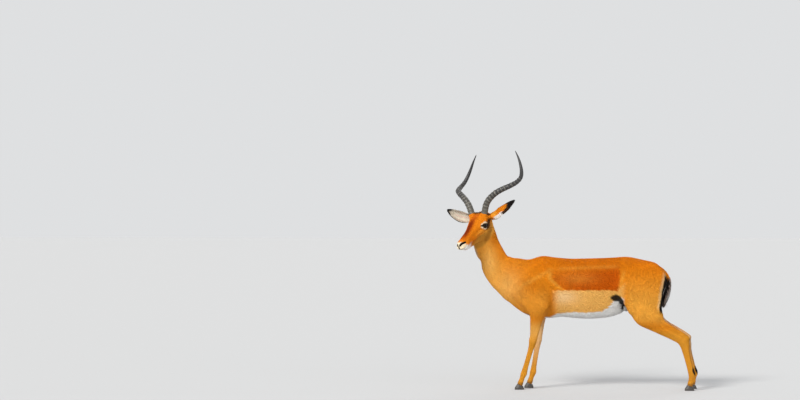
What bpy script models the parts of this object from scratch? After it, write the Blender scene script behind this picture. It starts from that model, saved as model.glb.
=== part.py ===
"""Impala ram, life size, standing with the head turned to its left.

Metres, +Z up. The animal faces -X, its left side is at -Y, and the hoof soles are at z = 0.
The body is a set of tapering oval tubes (trunk, neck, head, muscles, limb bones). Their union is
remeshed, its points are drawn onto the smooth blend of all tubes, and the whole is parted with
thin cuts into the animal's named parts. Horns, ears, eyes and hooves are pieces of their own.
"""

import math

import bmesh
import bpy
import numpy as np
from mathutils import Matrix, Vector

# ---------------------------------------------------------------- driving sizes
CUT_GAP = 0.0004  # width of a thin cut between two parts
REMESH_VOXEL = 0.0085  # step of the first, rough union of the tubes
FLESH_TRIANGLES = 3800  # before the parting cuts

# ---------------------------------------------------------------- head placement
HEAD_TURN = 52.0  # degrees from straight ahead towards the animal's left
HEAD_PITCH = 44.0  # degrees below level
HEAD_ROLL = 5.0  # degrees, left side up
HEAD_ORIGIN = Vector((-0.641, -0.088, 1.179))  # on the brow between the two horn bases


def head_axes():
    """Forward, left and up unit vectors of the head."""
    turn, pitch, roll = (math.radians(a) for a in (HEAD_TURN, HEAD_PITCH, HEAD_ROLL))
    ahead = Vector((-math.cos(turn), -math.sin(turn), 0.0))
    forward = ahead * math.cos(pitch) - Vector((0, 0, 1)) * math.sin(pitch)
    level = Vector((math.sin(turn), -math.cos(turn), 0.0))
    above = forward.cross(level)
    left = level * math.cos(roll) + above * math.sin(roll)
    return forward, left, above * math.cos(roll) - level * math.sin(roll)


def on_head(forward, left, up):
    """World position of a point given in head coordinates."""
    f, l, u = head_axes()
    return HEAD_ORIGIN + f * forward + l * left + u * up


# ---------------------------------------------------------------- oval tubes
# A station is x, y, z, half width, half depth above, half depth below, heading in degrees.
# On a leg "above" is the front of the limb and "below" its back.
SPAN_STEPS = 5
FAR = 1.0


def catmull_rom(rows, steps=SPAN_STEPS):
    """Smooth curve through the station rows, with `steps` rows to a span."""
    rows = np.asarray(rows, float)
    ends = np.vstack([2 * rows[0] - rows[1], rows, 2 * rows[-1] - rows[-2]])
    t = np.linspace(0.0, 1.0, steps, endpoint=False)[:, None]
    spans = [
        b
        + (c - a) * t / 2
        + (2 * a - 5 * b + 4 * c - d) * t**2 / 2
        + (3 * b - a - 3 * c + d) * t**3 / 2
        for a, b, c, d in zip(ends, ends[1:], ends[2:], ends[3:])
    ]
    return np.vstack([*spans, rows[-1:]])


def unit(vectors):
    return vectors / np.maximum(np.linalg.norm(vectors, axis=-1, keepdims=True), 1e-9)


class Tube:
    """A tapering tube of oval section along a smooth path, with rounded ends."""

    def __init__(self, stations, blend=0.03, power=2.0, cap=1.0, side=None):
        rows = catmull_rom(stations)
        self.centre, self.size = rows[:, :3], np.maximum(rows[:, 3:6], 0.0015)
        heading = np.radians(rows[:, 6])
        if side is None:
            side = np.stack([np.sin(heading), -np.cos(heading), 0 * heading], axis=1)
        else:
            side = np.tile(np.array(side, float), (len(rows), 1))
        self.along = unit(np.gradient(self.centre, axis=0))
        self.up = unit(np.cross(self.along, side))
        self.side = unit(np.cross(self.up, self.along))
        self.blend, self.power, self.cap = blend, power, cap

    def distance(self, points):
        """Signed distance to the tube's surface, near enough for blending; FAR away from it."""
        out = np.full(len(points), FAR)
        reach = self.size.max() + self.blend + 0.02
        low, high = self.centre.min(0) - reach, self.centre.max(0) + reach
        near = np.flatnonzero(((points > low) & (points < high)).all(1))
        start, run = self.centre[:-1], np.diff(self.centre, axis=0)
        run2 = np.maximum((run**2).sum(1), 1e-12)
        for part in np.array_split(near, max(1, len(near) // 20000)):
            if not len(part):
                continue
            rel = points[part][:, None, :] - start[None]
            t = np.clip(np.einsum("nsk,sk->ns", rel, run) / run2, 0.0, 1.0)
            gap = ((rel - t[..., None] * run) ** 2).sum(-1)
            k = gap.argmin(1)
            pick = np.arange(len(part))
            t = t[pick, k][:, None]
            offset = rel[pick, k] - t * run[k]
            width, above, below = ((1 - t) * self.size[k] + t * self.size[k + 1]).T
            side, up, along = (
                unit((1 - t) * axis[k] + t * axis[k + 1]) for axis in (self.side, self.up, self.along)
            )
            s, u, a = ((offset * axis).sum(1) for axis in (side, up, along))
            depth = np.where(u > 0, above, below)
            end = self.cap * np.minimum(width, depth)
            oval = (np.abs(s / width) ** self.power + np.abs(u / depth) ** self.power) ** (2 / self.power)
            ratio = np.sqrt(oval + (a / end) ** 2) + 1e-9
            slope = np.sqrt((s / width**2) ** 2 + (u / depth**2) ** 2 + (a / end**2) ** 2) + 1e-9
            out[part] = ratio * (ratio - 1.0) / slope
        return out

    def rings(self, sides=18, cap_rings=3):
        """Points of the tube's skin, ring by ring, with the rounded ends."""
        turn = np.linspace(0, 2 * math.pi, sides, endpoint=False)
        rows = []
        last = len(self.centre) - 1
        caps = [(0, -a) for a in np.linspace(math.pi / 2 * 0.96, 0, cap_rings, endpoint=False)]
        body = [(k, 0.0) for k in range(last + 1)]
        tail = [(last, a) for a in np.linspace(math.pi / 2 * 0.96, 0, cap_rings, endpoint=False)[::-1]]
        for k, lean in caps + body + tail:
            width, above, below = self.size[k]
            depth = np.where(np.sin(turn) > 0, above, below)
            end = self.cap * min(width, above, below)
            c, s = np.cos(turn), np.sin(turn)
            round_off = (np.abs(c) ** self.power + np.abs(s) ** self.power) ** (-1 / self.power)
            ring = (
                self.centre[k]
                + math.cos(lean) * (width * c * round_off)[:, None] * self.side[k]
                + math.cos(lean) * (depth * s * round_off)[:, None] * self.up[k]
                + math.sin(lean) * end * self.along[k]
            )
            rows.append(ring)
        return np.array(rows)


def smooth_min(a, b, width):
    """Union of two distances with a fillet about `width` across."""
    h = np.maximum(width - np.abs(a - b), 0.0) / width
    return np.minimum(a, b) - h * h * width / 4


# ---------------------------------------------------------------- the body's masses
def trunk():
    """x, back line, belly line and half width at each level, about a nearly level axis."""
    profile = [
        (-0.420, 0.800, 0.630, 0.048),
        (-0.365, 0.846, 0.570, 0.076),
        (-0.285, 0.873, 0.518, 0.097),
        (-0.190, 0.902, 0.500, 0.107),
        (-0.100, 0.893, 0.490, 0.113),
        (0.000, 0.885, 0.480, 0.118),
        (0.100, 0.886, 0.474, 0.119),
        (0.200, 0.889, 0.484, 0.112),
        (0.290, 0.893, 0.520, 0.100),
        (0.380, 0.898, 0.590, 0.094),
        (0.460, 0.884, 0.625, 0.089),
        (0.540, 0.854, 0.650, 0.080),
        (0.600, 0.826, 0.680, 0.063),
    ]
    rows = []
    for x, back, belly, width in reversed(profile):
        z = 0.700 + 0.045 * (x + 0.42)
        rows.append((x, 0.0, z, width, back - z, z - belly, 0.0))
    return Tube(rows, power=2.15, cap=0.6)


def neck():
    """Nape point and throat point (x, z), y, half width and heading at each level."""
    levels = [
        ((-0.215, 0.800), (-0.300, 0.660), 0.000, 0.070, 0),
        ((-0.290, 0.845), (-0.450, 0.655), 0.000, 0.078, 0),
        ((-0.355, 0.858), (-0.550, 0.712), 0.000, 0.072, 2),
        ((-0.415, 0.893), (-0.598, 0.785), -0.002, 0.064, 6),
        ((-0.456, 0.942), (-0.610, 0.870), -0.006, 0.057, 12),
        ((-0.487, 1.005), (-0.636, 0.940), -0.012, 0.052, 22),
        ((-0.507, 1.072), (-0.640, 1.010), -0.018, 0.050, 34),
        ((-0.530, 1.130), (-0.630, 1.075), -0.022, 0.046, 44),
    ]
    rows = []
    for nape, throat, y, width, heading in levels:
        depth = math.dist(nape, throat) / 2
        rows.append(((nape[0] + throat[0]) / 2, y, (nape[1] + throat[1]) / 2, width, depth, depth, heading))
    return Tube(rows, blend=0.07)


def head_tube(stations, blend=0.02, **options):
    """A tube given in head coordinates: forward, left, up, half width, above, below."""
    rows = [(*on_head(*row[:3]), *row[3:], 0.0) for row in stations]
    return Tube(rows, blend=blend, side=head_axes()[1], **options)


def both(make, **options):
    """Two tubes, for left +1 and right -1."""
    return [make(hand, **options) for hand in (1, -1)]


def head_masses():
    skull = head_tube(
        [
            (-0.050, 0, -0.064, 0.046, 0.036, 0.044),
            (0.000, 0, -0.050, 0.058, 0.050, 0.058),
            (0.045, 0, -0.050, 0.060, 0.052, 0.060),
            (0.085, 0, -0.050, 0.051, 0.047, 0.054),
            (0.125, 0, -0.050, 0.041, 0.041, 0.047),
            (0.165, 0, -0.048, 0.035, 0.038, 0.038),
            (0.205, 0, -0.046, 0.034, 0.039, 0.032),
            (0.248, 0, -0.045, 0.034, 0.037, 0.026),
        ],
        blend=0.05,
        power=2.3,
    )
    jaw = head_tube(
        [
            (0.000, 0, -0.104, 0.038, 0.044, 0.046),
            (0.060, 0, -0.108, 0.036, 0.046, 0.046),
            (0.120, 0, -0.098, 0.029, 0.038, 0.040),
            (0.180, 0, -0.084, 0.024, 0.026, 0.031),
            (0.236, 0, -0.075, 0.023, 0.016, 0.019),
        ],
        blend=0.018,
    )
    throat = Tube(
        [
            (-0.590, -0.030, 1.060, 0.042, 0.050, 0.050, 45.0),
            (-0.612, -0.030, 0.990, 0.040, 0.048, 0.050, 30.0),
            (-0.600, -0.012, 0.920, 0.036, 0.040, 0.042, 15.0),
        ],
        blend=0.05,
    )

    def cheek(hand):
        return head_tube(
            [
                (0.000, 0.034 * hand, -0.080, 0.018, 0.038, 0.036),
                (0.075, 0.029 * hand, -0.086, 0.016, 0.026, 0.026),
            ],
            blend=0.02,
        )

    def orbit(hand):
        return head_tube(
            [
                (0.014, 0.053 * hand, -0.060, 0.018, 0.025, 0.024),
                (0.066, 0.048 * hand, -0.058, 0.018, 0.022, 0.022),
            ],
            blend=0.02,
        )

    def pedicle(hand):
        return head_tube(
            [
                (0.010, 0.043 * hand, -0.042, 0.028, 0.028, 0.028),
                (-0.018, 0.057 * hand, -0.010, 0.025, 0.026, 0.026),
            ],
            blend=0.02,
            cap=0.3,
        )

    def ear_root(hand):
        return head_tube(
            [
                (-0.020, 0.038 * hand, -0.054, 0.024, 0.026, 0.026),
                (-0.032, 0.070 * hand, -0.050, 0.021, 0.023, 0.023),
            ],
            blend=0.02,
        )

    lips = head_tube(
        [(0.225, 0, -0.053, 0.035, 0.028, 0.018), (0.256, 0, -0.050, 0.032, 0.030, 0.018)],
        blend=0.015,
        power=2.4,
    )
    return [skull, throat, jaw, lips, *both(cheek), *both(orbit), *both(pedicle), *both(ear_root)]


# Joints of each leg: x, y, z. The left fore foot is set a little ahead of the right one.
# The left side is +1 and the right side -1.
FORE_JOINTS = {
    1: [
        (-0.360, -0.080, 0.668),  # point of the shoulder
        (-0.205, -0.086, 0.560),  # elbow
        (-0.258, -0.076, 0.328),  # knee
        (-0.322, -0.070, 0.106),  # fetlock
        (-0.346, -0.070, 0.034),  # coronet
    ],
    -1: [
        (-0.360, 0.080, 0.668),
        (-0.198, 0.086, 0.560),
        (-0.226, 0.076, 0.328),
        (-0.262, 0.070, 0.106),
        (-0.284, 0.070, 0.034),
    ],
}
HIND_JOINTS = {
    1: [
        (0.470, -0.070, 0.760),  # hip
        (0.448, -0.092, 0.520),  # stifle
        (0.752, -0.082, 0.332),  # hock
        (0.805, -0.076, 0.106),  # fetlock
        (0.795, -0.076, 0.034),  # coronet
    ],
    -1: [
        (0.470, 0.070, 0.760),
        (0.456, 0.092, 0.520),
        (0.770, 0.082, 0.332),
        (0.830, 0.076, 0.106),
        (0.820, 0.076, 0.034),
    ],
}


def along_bones(joints, stations):
    """Stations given as (bone number, share of the bone, shift in x, half width, front, back)."""
    rows = []
    for bone, share, shift, width, front, back in stations:
        a, b = np.array(joints[bone]), np.array(joints[bone + 1])
        x, y, z = a + (b - a) * share
        rows.append((x + shift, y, z, width, front, back, 0.0))
    return rows


def fore_leg(hand):
    joints = FORE_JOINTS[hand]
    shaft = Tube(
        along_bones(
            joints,
            [
                (1, 0.00, -0.005, 0.034, 0.052, 0.045),
                (1, 0.22, -0.006, 0.031, 0.054, 0.042),
                (1, 0.45, -0.004, 0.027, 0.047, 0.036),
                (1, 0.68, -0.002, 0.022, 0.036, 0.030),
                (1, 0.86, 0.000, 0.020, 0.029, 0.026),
                (1, 1.00, 0.000, 0.0215, 0.029, 0.026),
                (2, 0.12, 0.000, 0.019, 0.022, 0.023),
                (2, 0.30, 0.000, 0.0150, 0.0175, 0.0195),
                (2, 0.60, 0.000, 0.0140, 0.0165, 0.0185),
                (2, 0.84, 0.000, 0.0150, 0.0175, 0.0195),
                (2, 1.00, 0.000, 0.0185, 0.0205, 0.0235),
                (3, 0.40, 0.000, 0.0170, 0.0175, 0.0190),
                (3, 0.90, 0.000, 0.0210, 0.0210, 0.0200),
            ],
        ),
        blend=0.05,
    )
    upper_arm = Tube(
        along_bones(
            joints,
            [
                (0, 0.02, 0, 0.030, 0.046, 0.046),
                (0, 0.50, 0, 0.036, 0.060, 0.056),
                (0, 1.00, 0, 0.034, 0.050, 0.048),
            ],
        ),
        blend=0.05,
    )
    side = -hand
    blade = Tube(
        [
            (-0.195, 0.050 * side, 0.835, 0.026, 0.040, 0.052, 0.0),
            (-0.270, 0.078 * side, 0.760, 0.030, 0.050, 0.058, 0.0),
            (-0.335, 0.086 * side, 0.690, 0.030, 0.050, 0.052, 0.0),
        ],
        blend=0.05,
    )
    triceps = Tube(
        [
            (-0.175, 0.086 * side, 0.740, 0.026, 0.060, 0.040, 0.0),
            (-0.170, 0.092 * side, 0.650, 0.030, 0.060, 0.042, 0.0),
            (-0.165, 0.090 * side, 0.580, 0.024, 0.045, 0.030, 0.0),
        ],
        blend=0.05,
    )
    return [blade, upper_arm, triceps, shaft]


def hind_leg(hand):
    joints = HIND_JOINTS[hand]
    side = -hand
    thigh = Tube(
        [
            (0.480, 0.052 * side, 0.800, 0.050, 0.120, 0.110, 0.0),
            (0.500, 0.066 * side, 0.720, 0.052, 0.150, 0.125, 0.0),
            (0.505, 0.074 * side, 0.640, 0.050, 0.140, 0.110, 0.0),
            (0.515, 0.078 * side, 0.560, 0.045, 0.115, 0.096, 0.0),
            (0.535, 0.080 * side, 0.495, 0.040, 0.095, 0.080, 0.0),
        ],
        blend=0.06,
    )
    shank = Tube(
        along_bones(
            joints,
            [
                (1, 0.04, 0, 0.036, 0.052, 0.060),
                (1, 0.25, 0, 0.035, 0.060, 0.062),
                (1, 0.50, 0, 0.029, 0.050, 0.052),
                (1, 0.75, 0, 0.023, 0.038, 0.044),
                (1, 0.94, 0, 0.021, 0.034, 0.040),
                (2, 0.10, 0, 0.021, 0.033, 0.036),
                (2, 0.30, 0, 0.0170, 0.0265, 0.0250),
                (2, 0.60, 0, 0.0150, 0.0220, 0.0215),
                (2, 0.84, 0, 0.0155, 0.0210, 0.0215),
                (2, 1.00, 0, 0.0185, 0.0215, 0.0245),
                (3, 0.40, 0, 0.0170, 0.0180, 0.0195),
                (3, 0.90, 0, 0.0210, 0.0210, 0.0200),
            ],
        ),
        blend=0.05,
    )
    hock = Vector(joints[2])
    heel = Tube(
        [
            (hock.x - 0.085, hock.y, hock.z + 0.088, 0.010, 0.012, 0.010, 0.0),
            (hock.x - 0.020, hock.y, hock.z + 0.050, 0.012, 0.014, 0.013, 0.0),
            (hock.x + 0.024, hock.y, hock.z + 0.020, 0.015, 0.017, 0.015, 0.0),
        ],
        blend=0.025,
    )
    flank = Tube(
        [
            (0.326, 0.086 * side, 0.700, 0.016, 0.030, 0.030, 0.0),
            (0.374, 0.090 * side, 0.630, 0.018, 0.034, 0.030, 0.0),
            (0.414, 0.088 * side, 0.545, 0.020, 0.034, 0.030, 0.0),
        ],
        blend=0.05,
    )
    return [thigh, shank, flank, heel]


def brisket():
    return Tube(
        [
            (-0.470, 0, 0.720, 0.045, 0.050, 0.060, 0.0),
            (-0.400, 0, 0.650, 0.054, 0.060, 0.058, 0.0),
            (-0.320, 0, 0.594, 0.062, 0.070, 0.060, 0.0),
            (-0.250, 0, 0.560, 0.070, 0.070, 0.055, 0.0),
            (-0.150, 0, 0.556, 0.070, 0.070, 0.055, 0.0),
        ],
        blend=0.05,
    )


def groin():
    sheath = Tube(
        [
            (0.180, 0, 0.530, 0.034, 0.034, 0.040, 0.0),
            (0.255, 0, 0.530, 0.036, 0.040, 0.040, 0.0),
            (0.318, 0, 0.548, 0.032, 0.040, 0.038, 0.0),
        ],
        blend=0.03,
    )
    scrotum = Tube(
        [(0.385, 0, 0.610, 0.022, 0.022, 0.022, 0.0), (0.368, 0, 0.552, 0.026, 0.024, 0.024, 0.0)],
        blend=0.02,
    )
    return [sheath, scrotum]


def tail():
    return Tube(
        [
            (0.590, 0, 0.806, 0.020, 0.018, 0.020, 0.0),
            (0.632, 0, 0.784, 0.022, 0.016, 0.020, 0.0),
            (0.652, 0, 0.740, 0.024, 0.021, 0.020, 0.0),
            (0.656, 0, 0.690, 0.027, 0.024, 0.020, 0.0),
            (0.648, 0, 0.640, 0.028, 0.025, 0.020, 0.0),
            (0.634, 0, 0.590, 0.022, 0.020, 0.017, 0.0),
            (0.624, 0, 0.552, 0.009, 0.010, 0.008, 0.0),
        ],
        blend=0.012,
    )


def body_tubes():
    return [
        trunk(),
        neck(),
        brisket(),
        *groin(),
        *[tube for hand in (1, -1) for tube in fore_leg(hand)],
        *[tube for hand in (1, -1) for tube in hind_leg(hand)],
        tail(),
        *head_masses(),
    ]


def blended(points, tubes):
    """Signed distance to the smooth union of all tubes."""
    field = tubes[0].distance(points)
    for tube in tubes[1:]:
        field = smooth_min(field, tube.distance(points), tube.blend)
    return field


def settle(points, tubes, rounds=4, offset=0.0):
    """Moves points along the blend's gradient until they lie on it."""
    step = 0.0006
    probes = np.array([[1, 1, 1], [1, -1, -1], [-1, 1, -1], [-1, -1, 1]], float)
    for _ in range(rounds):
        values = np.stack([blended(points + step * probe, tubes) for probe in probes])
        slope = np.einsum("kn,kd->nd", values, probes) / (4 * step)
        value = values.mean(0) + offset
        size2 = np.maximum((slope**2).sum(1), 0.25)
        move = -(value / size2)[:, None] * slope
        length = np.linalg.norm(move, axis=1, keepdims=True)
        points = points + move * np.minimum(1.0, 0.012 / np.maximum(length, 1e-9))
    return points


# ---------------------------------------------------------------- meshes
part_collection = None
helper_collection = None


def fresh_scene():
    global part_collection, helper_collection
    for thing in list(bpy.data.objects):
        bpy.data.objects.remove(thing)
    scene = bpy.context.scene
    scene.unit_settings.system = "METRIC"
    scene.unit_settings.scale_length = 1.0
    part_collection = bpy.data.collections.new("impala_antelope")
    helper_collection = bpy.data.collections.new("helpers")
    helper_collection.hide_render = True
    scene.collection.children.link(part_collection)
    scene.collection.children.link(helper_collection)


def material(name, colour, roughness=0.8):
    made = bpy.data.materials.new(name)
    made.use_nodes = True
    shader = made.node_tree.nodes["Principled BSDF"]
    shader.inputs["Base Color"].default_value = (*colour, 1.0)
    shader.inputs["Roughness"].default_value = roughness
    return made


def link(name, mesh, collection, look=None):
    thing = bpy.data.objects.new(name, mesh)
    collection.objects.link(thing)
    if look is not None:
        mesh.materials.clear()
        mesh.materials.append(look)
    if collection is helper_collection:
        thing.hide_render = True
        thing.display_type = "WIRE"
    return thing


def loft(name, sections, closed_ends=True):
    """Mesh through equal rings of points, capped with a fan at both ends."""
    made = bmesh.new()
    rings = [[made.verts.new(Vector(p)) for p in ring] for ring in sections]
    for low, high in zip(rings, rings[1:]):
        for j in range(len(low)):
            k = (j + 1) % len(low)
            made.faces.new((low[j], low[k], high[k], high[j]))
    if closed_ends:
        for ring, turn in ((rings[0], -1), (rings[-1], 1)):
            hub = made.verts.new(sum((v.co for v in ring), Vector()) / len(ring))
            for j in range(len(ring)):
                a, b = ring[j], ring[(j + 1) % len(ring)]
                made.faces.new((a, b, hub) if turn > 0 else (b, a, hub))
    bmesh.ops.recalc_face_normals(made, faces=made.faces)
    mesh = bpy.data.meshes.new(name)
    made.to_mesh(mesh)
    made.free()
    return mesh


def evaluated(thing):
    """The object's mesh with all of its modifiers applied, as a new mesh."""
    graph = bpy.context.evaluated_depsgraph_get()
    return bpy.data.meshes.new_from_object(thing.evaluated_get(graph))


def modified(thing, kind, **settings):
    """Puts the modifier on the object and applies it."""
    modifier = thing.modifiers.new(kind.lower(), kind)
    for key, value in settings.items():
        setattr(modifier, key, value)
    old = thing.data
    mesh = evaluated(thing)
    thing.modifiers.clear()
    thing.data = mesh
    bpy.data.meshes.remove(old)
    return thing


def boolean(thing, cutter, operation):
    return modified(thing, "BOOLEAN", object=cutter, operation=operation, solver="EXACT")


def points_of(mesh):
    flat = np.empty(len(mesh.vertices) * 3, np.float32)
    mesh.vertices.foreach_get("co", flat)
    return flat.reshape(-1, 3).astype(float)


def block(name, planes, size=0.6, at=(0, 0, 0), grow=0.0):
    """Solid helper cut out of a cube at `at` by planes given as (point, outward normal)."""
    made = bmesh.new()
    bmesh.ops.create_cube(made, size=size, matrix=Matrix.Translation(Vector(at)))
    for point, normal in planes:
        normal = Vector(normal).normalized()
        cut = bmesh.ops.bisect_plane(
            made,
            geom=[*made.verts, *made.edges, *made.faces],
            plane_co=Vector(point) + normal * grow,
            plane_no=normal,
            clear_outer=True,
        )
        edges = [e for e in cut["geom_cut"] if isinstance(e, bmesh.types.BMEdge)]
        bmesh.ops.contextual_create(made, geom=edges)
    bmesh.ops.triangulate(made, faces=made.faces)
    bmesh.ops.recalc_face_normals(made, faces=made.faces)
    mesh = bpy.data.meshes.new(name)
    made.to_mesh(mesh)
    made.free()
    return link(name, mesh, helper_collection)


def flesh():
    """The whole animal but for ears, eyes, horns and hooves, as one closed mesh."""
    tubes = body_tubes()
    merged = bmesh.new()
    for tube in tubes:
        rings = [[merged.verts.new(p) for p in ring] for ring in tube.rings()]
        for low, high in zip(rings, rings[1:]):
            for j in range(len(low)):
                k = (j + 1) % len(low)
                merged.faces.new((low[j], low[k], high[k], high[j]))
        merged.faces.new(rings[0][::-1])
        merged.faces.new(rings[-1])
    mesh = bpy.data.meshes.new("flesh")
    merged.to_mesh(mesh)
    merged.free()
    body = link("flesh", mesh, helper_collection)
    modified(body, "REMESH", mode="VOXEL", voxel_size=REMESH_VOXEL)
    settled = settle(points_of(body.data), tubes)
    body.data.vertices.foreach_set("co", settled.astype(np.float32).ravel())
    body.data.update()
    modified(body, "TRIANGULATE")
    share = FLESH_TRIANGLES / len(body.data.polygons)
    return modified(body, "DECIMATE", ratio=share)


# ---------------------------------------------------------------- ears
EAR_HALF_WIDTH = 0.036
EAR_WALL = 0.005
EAR_SAG = 0.022


def ear_frame(hand):
    """Root, tip and the way the ear's hollow faces, for left +1 and right -1."""
    root = on_head(-0.030, 0.060 * hand, -0.050)
    if hand > 0:
        return root, Vector((-0.383, -0.105, 1.276)), Vector((0.42, 0.70, -0.57))
    return root, Vector((-0.840, -0.015, 1.211)), Vector((0.10, -1.0, -0.15))


def ear(hand):
    """Leaf-shaped cup: half width w(t) and roll-up angle fall from root to tip."""
    root, tip, hollow = ear_frame(hand)
    axis = (tip - root).normalized()
    across = axis.cross(hollow).normalized()
    open_way = across.cross(axis).normalized()
    length = (tip - root).length
    rows, columns = 9, 6
    made = bmesh.new()
    grid = []
    for i in range(rows + 1):
        t = i / rows
        half = EAR_HALF_WIDTH * (0.50 + 0.50 * math.sin(math.pi * min(1.0, t / 0.55) / 2) ** 1.2)
        half *= max(0.0, 1.0 - max(0.0, (t - 0.48) / 0.53) ** 2.0) ** 0.75 + 0.04
        roll = math.radians(150 - 92 * min(1.0, t / 0.45))
        radius = half / math.sin(min(roll, math.pi / 2))
        middle = root + axis * (length * t) + Vector((0, 0, -EAR_SAG * math.sin(math.pi * t)))
        row = []
        for j in range(columns + 1):
            angle = roll * (2 * j / columns - 1)
            away = radius * (0.35 - math.cos(angle))
            row.append(made.verts.new(middle + across * (radius * math.sin(angle)) + open_way * away))
        grid.append(row)
    for low, high in zip(grid, grid[1:]):
        for j in range(columns):
            made.faces.new((low[j], low[j + 1], high[j + 1], high[j]))
    bmesh.ops.recalc_face_normals(made, faces=made.faces)
    mesh = bpy.data.meshes.new("ear")
    made.to_mesh(mesh)
    made.free()
    shell = link("ear", mesh, helper_collection)
    modified(shell, "SOLIDIFY", thickness=EAR_WALL, offset=0.0, use_even_offset=False)
    return modified(shell, "TRIANGULATE")


# ---------------------------------------------------------------- horns
# Centre line in head coordinates (forward, left, up) and radius, from the brow to the tip.
HORN = [
    (-0.013, 0.055, -0.015, 0.0225),
    (-0.026, 0.062, -0.001, 0.0225),
    (-0.047, 0.073, 0.022, 0.0222),
    (-0.066, 0.087, 0.041, 0.0218),
    (-0.090, 0.114, 0.060, 0.0212),
    (-0.120, 0.157, 0.075, 0.0203),
    (-0.149, 0.200, 0.078, 0.0193),
    (-0.187, 0.241, 0.070, 0.0180),
    (-0.235, 0.262, 0.056, 0.0163),
    (-0.286, 0.265, 0.050, 0.0143),
    (-0.331, 0.254, 0.062, 0.0122),
    (-0.377, 0.234, 0.089, 0.0096),
    (-0.415, 0.212, 0.120, 0.0064),
    (-0.452, 0.183, 0.153, 0.0022),
]
HORN_RINGS = 16
HORN_RING_RISE = 0.0012
RIDGED_SHARE = 0.70
HORN_SIDES = 8


def horn_line(hand):
    """Points, tangents, radii and share of the length at each section of one horn."""
    rows = catmull_rom(HORN, 8)
    points = np.array([on_head(f, l * hand, u) for f, l, u in rows[:, :3]])
    travelled = np.concatenate([[0.0], np.cumsum(np.linalg.norm(np.diff(points, axis=0), axis=1))])
    ridged = np.linspace(0.0, RIDGED_SHARE, 2 * HORN_RINGS + 1)
    share = np.concatenate([ridged, np.linspace(RIDGED_SHARE, 1.0, 8)[1:]])
    at = share * travelled[-1]
    points = np.stack([np.interp(at, travelled, points[:, i]) for i in range(3)], axis=1)
    radii = np.interp(at, travelled, rows[:, 3])
    return points, unit(np.gradient(points, axis=0)), radii, share


def horn_sections(hand, swell):
    """Rings of points along a horn; swell(k, share) is added to the radius of section k."""
    side = np.array(head_axes()[0])
    turn = np.arange(HORN_SIDES) * 2 * math.pi / HORN_SIDES
    sections = []
    for k, (point, way, radius, share) in enumerate(zip(*horn_line(hand))):
        side = side - way * side.dot(way)
        side /= np.linalg.norm(side)
        other = np.cross(way, side)
        radius += swell(k, share)
        sections.append(point + radius * (np.cos(turn)[:, None] * side + np.sin(turn)[:, None] * other))
    return sections


def horn(hand, look):
    def ring_rise(k, share):
        return HORN_RING_RISE * (k % 2) if share < RIDGED_SHARE - 0.01 else 0.0

    name = "horn_left" if hand > 0 else "horn_right"
    return link(name, loft(name, horn_sections(hand, ring_rise)), part_collection, look)


def horn_socket(hand):
    """The room that the horn's foot takes up in the brow, a little larger than the horn."""
    sections = horn_sections(hand, lambda k, share: HORN_RING_RISE + CUT_GAP)[:9]
    way = sections[0].mean(0) - sections[1].mean(0)
    sections[0] = sections[0] + way / np.linalg.norm(way) * CUT_GAP
    return link("socket", loft("socket", sections), helper_collection)


# ---------------------------------------------------------------- eyes
EYE_RADIUS = 0.0195
EYE_AT = (0.042, 0.0560, -0.062)


def ball(name, centre, radius, collection, look=None):
    made = bmesh.new()
    bmesh.ops.create_uvsphere(
        made, u_segments=12, v_segments=8, radius=radius, matrix=Matrix.Translation(centre)
    )
    bmesh.ops.triangulate(made, faces=made.faces)
    mesh = bpy.data.meshes.new(name)
    made.to_mesh(mesh)
    made.free()
    return link(name, mesh, collection, look)


# ---------------------------------------------------------------- hooves
CORONET_HEIGHT = 0.031
CORONET_SLOPE = 0.35
TOE, HEEL = 0.036, -0.026


def hoof_claw(name, foot, inner, look):
    """One of the two claws: a pointed sole rising to a smaller ring under the coronet."""
    x, y = foot
    outline = [(-0.9, 0.0), (-0.75, 0.7), (-0.3, 1.0), (0.3, 1.0), (0.68, 0.72), (0.92, 0.34), (1.0, 0.0)]
    outline += [(a, -b) for a, b in outline[-2:0:-1]]
    sections = []
    levels = ((0.0, 1.0, 0.0105, 0.0125), (0.3, 1.0, 0.0104, 0.0122), (1.0, 0.62, 0.0094, 0.0107))
    for rise, spread, half, off in levels:
        ring = []
        for a, b in outline:
            forward = (TOE + HEEL) / 2 * spread - 0.004 * rise + a * (TOE - HEEL) / 2 * spread
            across = b * half * (1.0 if b * inner > 0 else 0.85)
            top = CORONET_HEIGHT - CUT_GAP + CORONET_SLOPE * forward
            ring.append((x - forward, y + inner * off + across, rise * top))
        sections.append(ring)
    return link(name, loft(name, sections), part_collection, look)


# ---------------------------------------------------------------- parting
# Each cut is a point of its plane and the way that looks out of the piece.
THROAT_CUT = ((-0.585, -0.02, 1.040), (0.62, 0.45, -0.64))
SHOULDER_CUT = ((-0.445, 0.0, 0.770), (0.79, 0.0, -0.61))
TAIL_CUTS = [
    ((0.640, 0, 0.778), (-0.35, 0, 0.93)),
    ((0.6305, 0, 0.69), (-1.0, 0, 0.20)),
    ((0, 0, 0.53), (0, 0, -1)),
    ((0, 0.036, 0), (0, 1, 0)),
    ((0, -0.036, 0), (0, -1, 0)),
]
FORELEG_TOP = 0.486
THIGH_TOP = (0.330, 0.0, 0.660)  # a point of the slanting cut between rump and thigh


def carve(body, name, planes, look):
    """Splits off what lies inside the planes as a part of its own, with a thin gap."""
    inside = block("inside", planes, size=4.0, grow=-CUT_GAP / 2)
    outside = block("outside", planes, size=4.0, grow=CUT_GAP / 2)
    piece = link(name, body.data.copy(), part_collection)
    boolean(piece, inside, "INTERSECT")
    boolean(body, outside, "DIFFERENCE")
    for helper in (inside, outside):
        bpy.data.objects.remove(helper)
    piece.data.materials.clear()
    piece.data.materials.append(look)
    return piece


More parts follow.
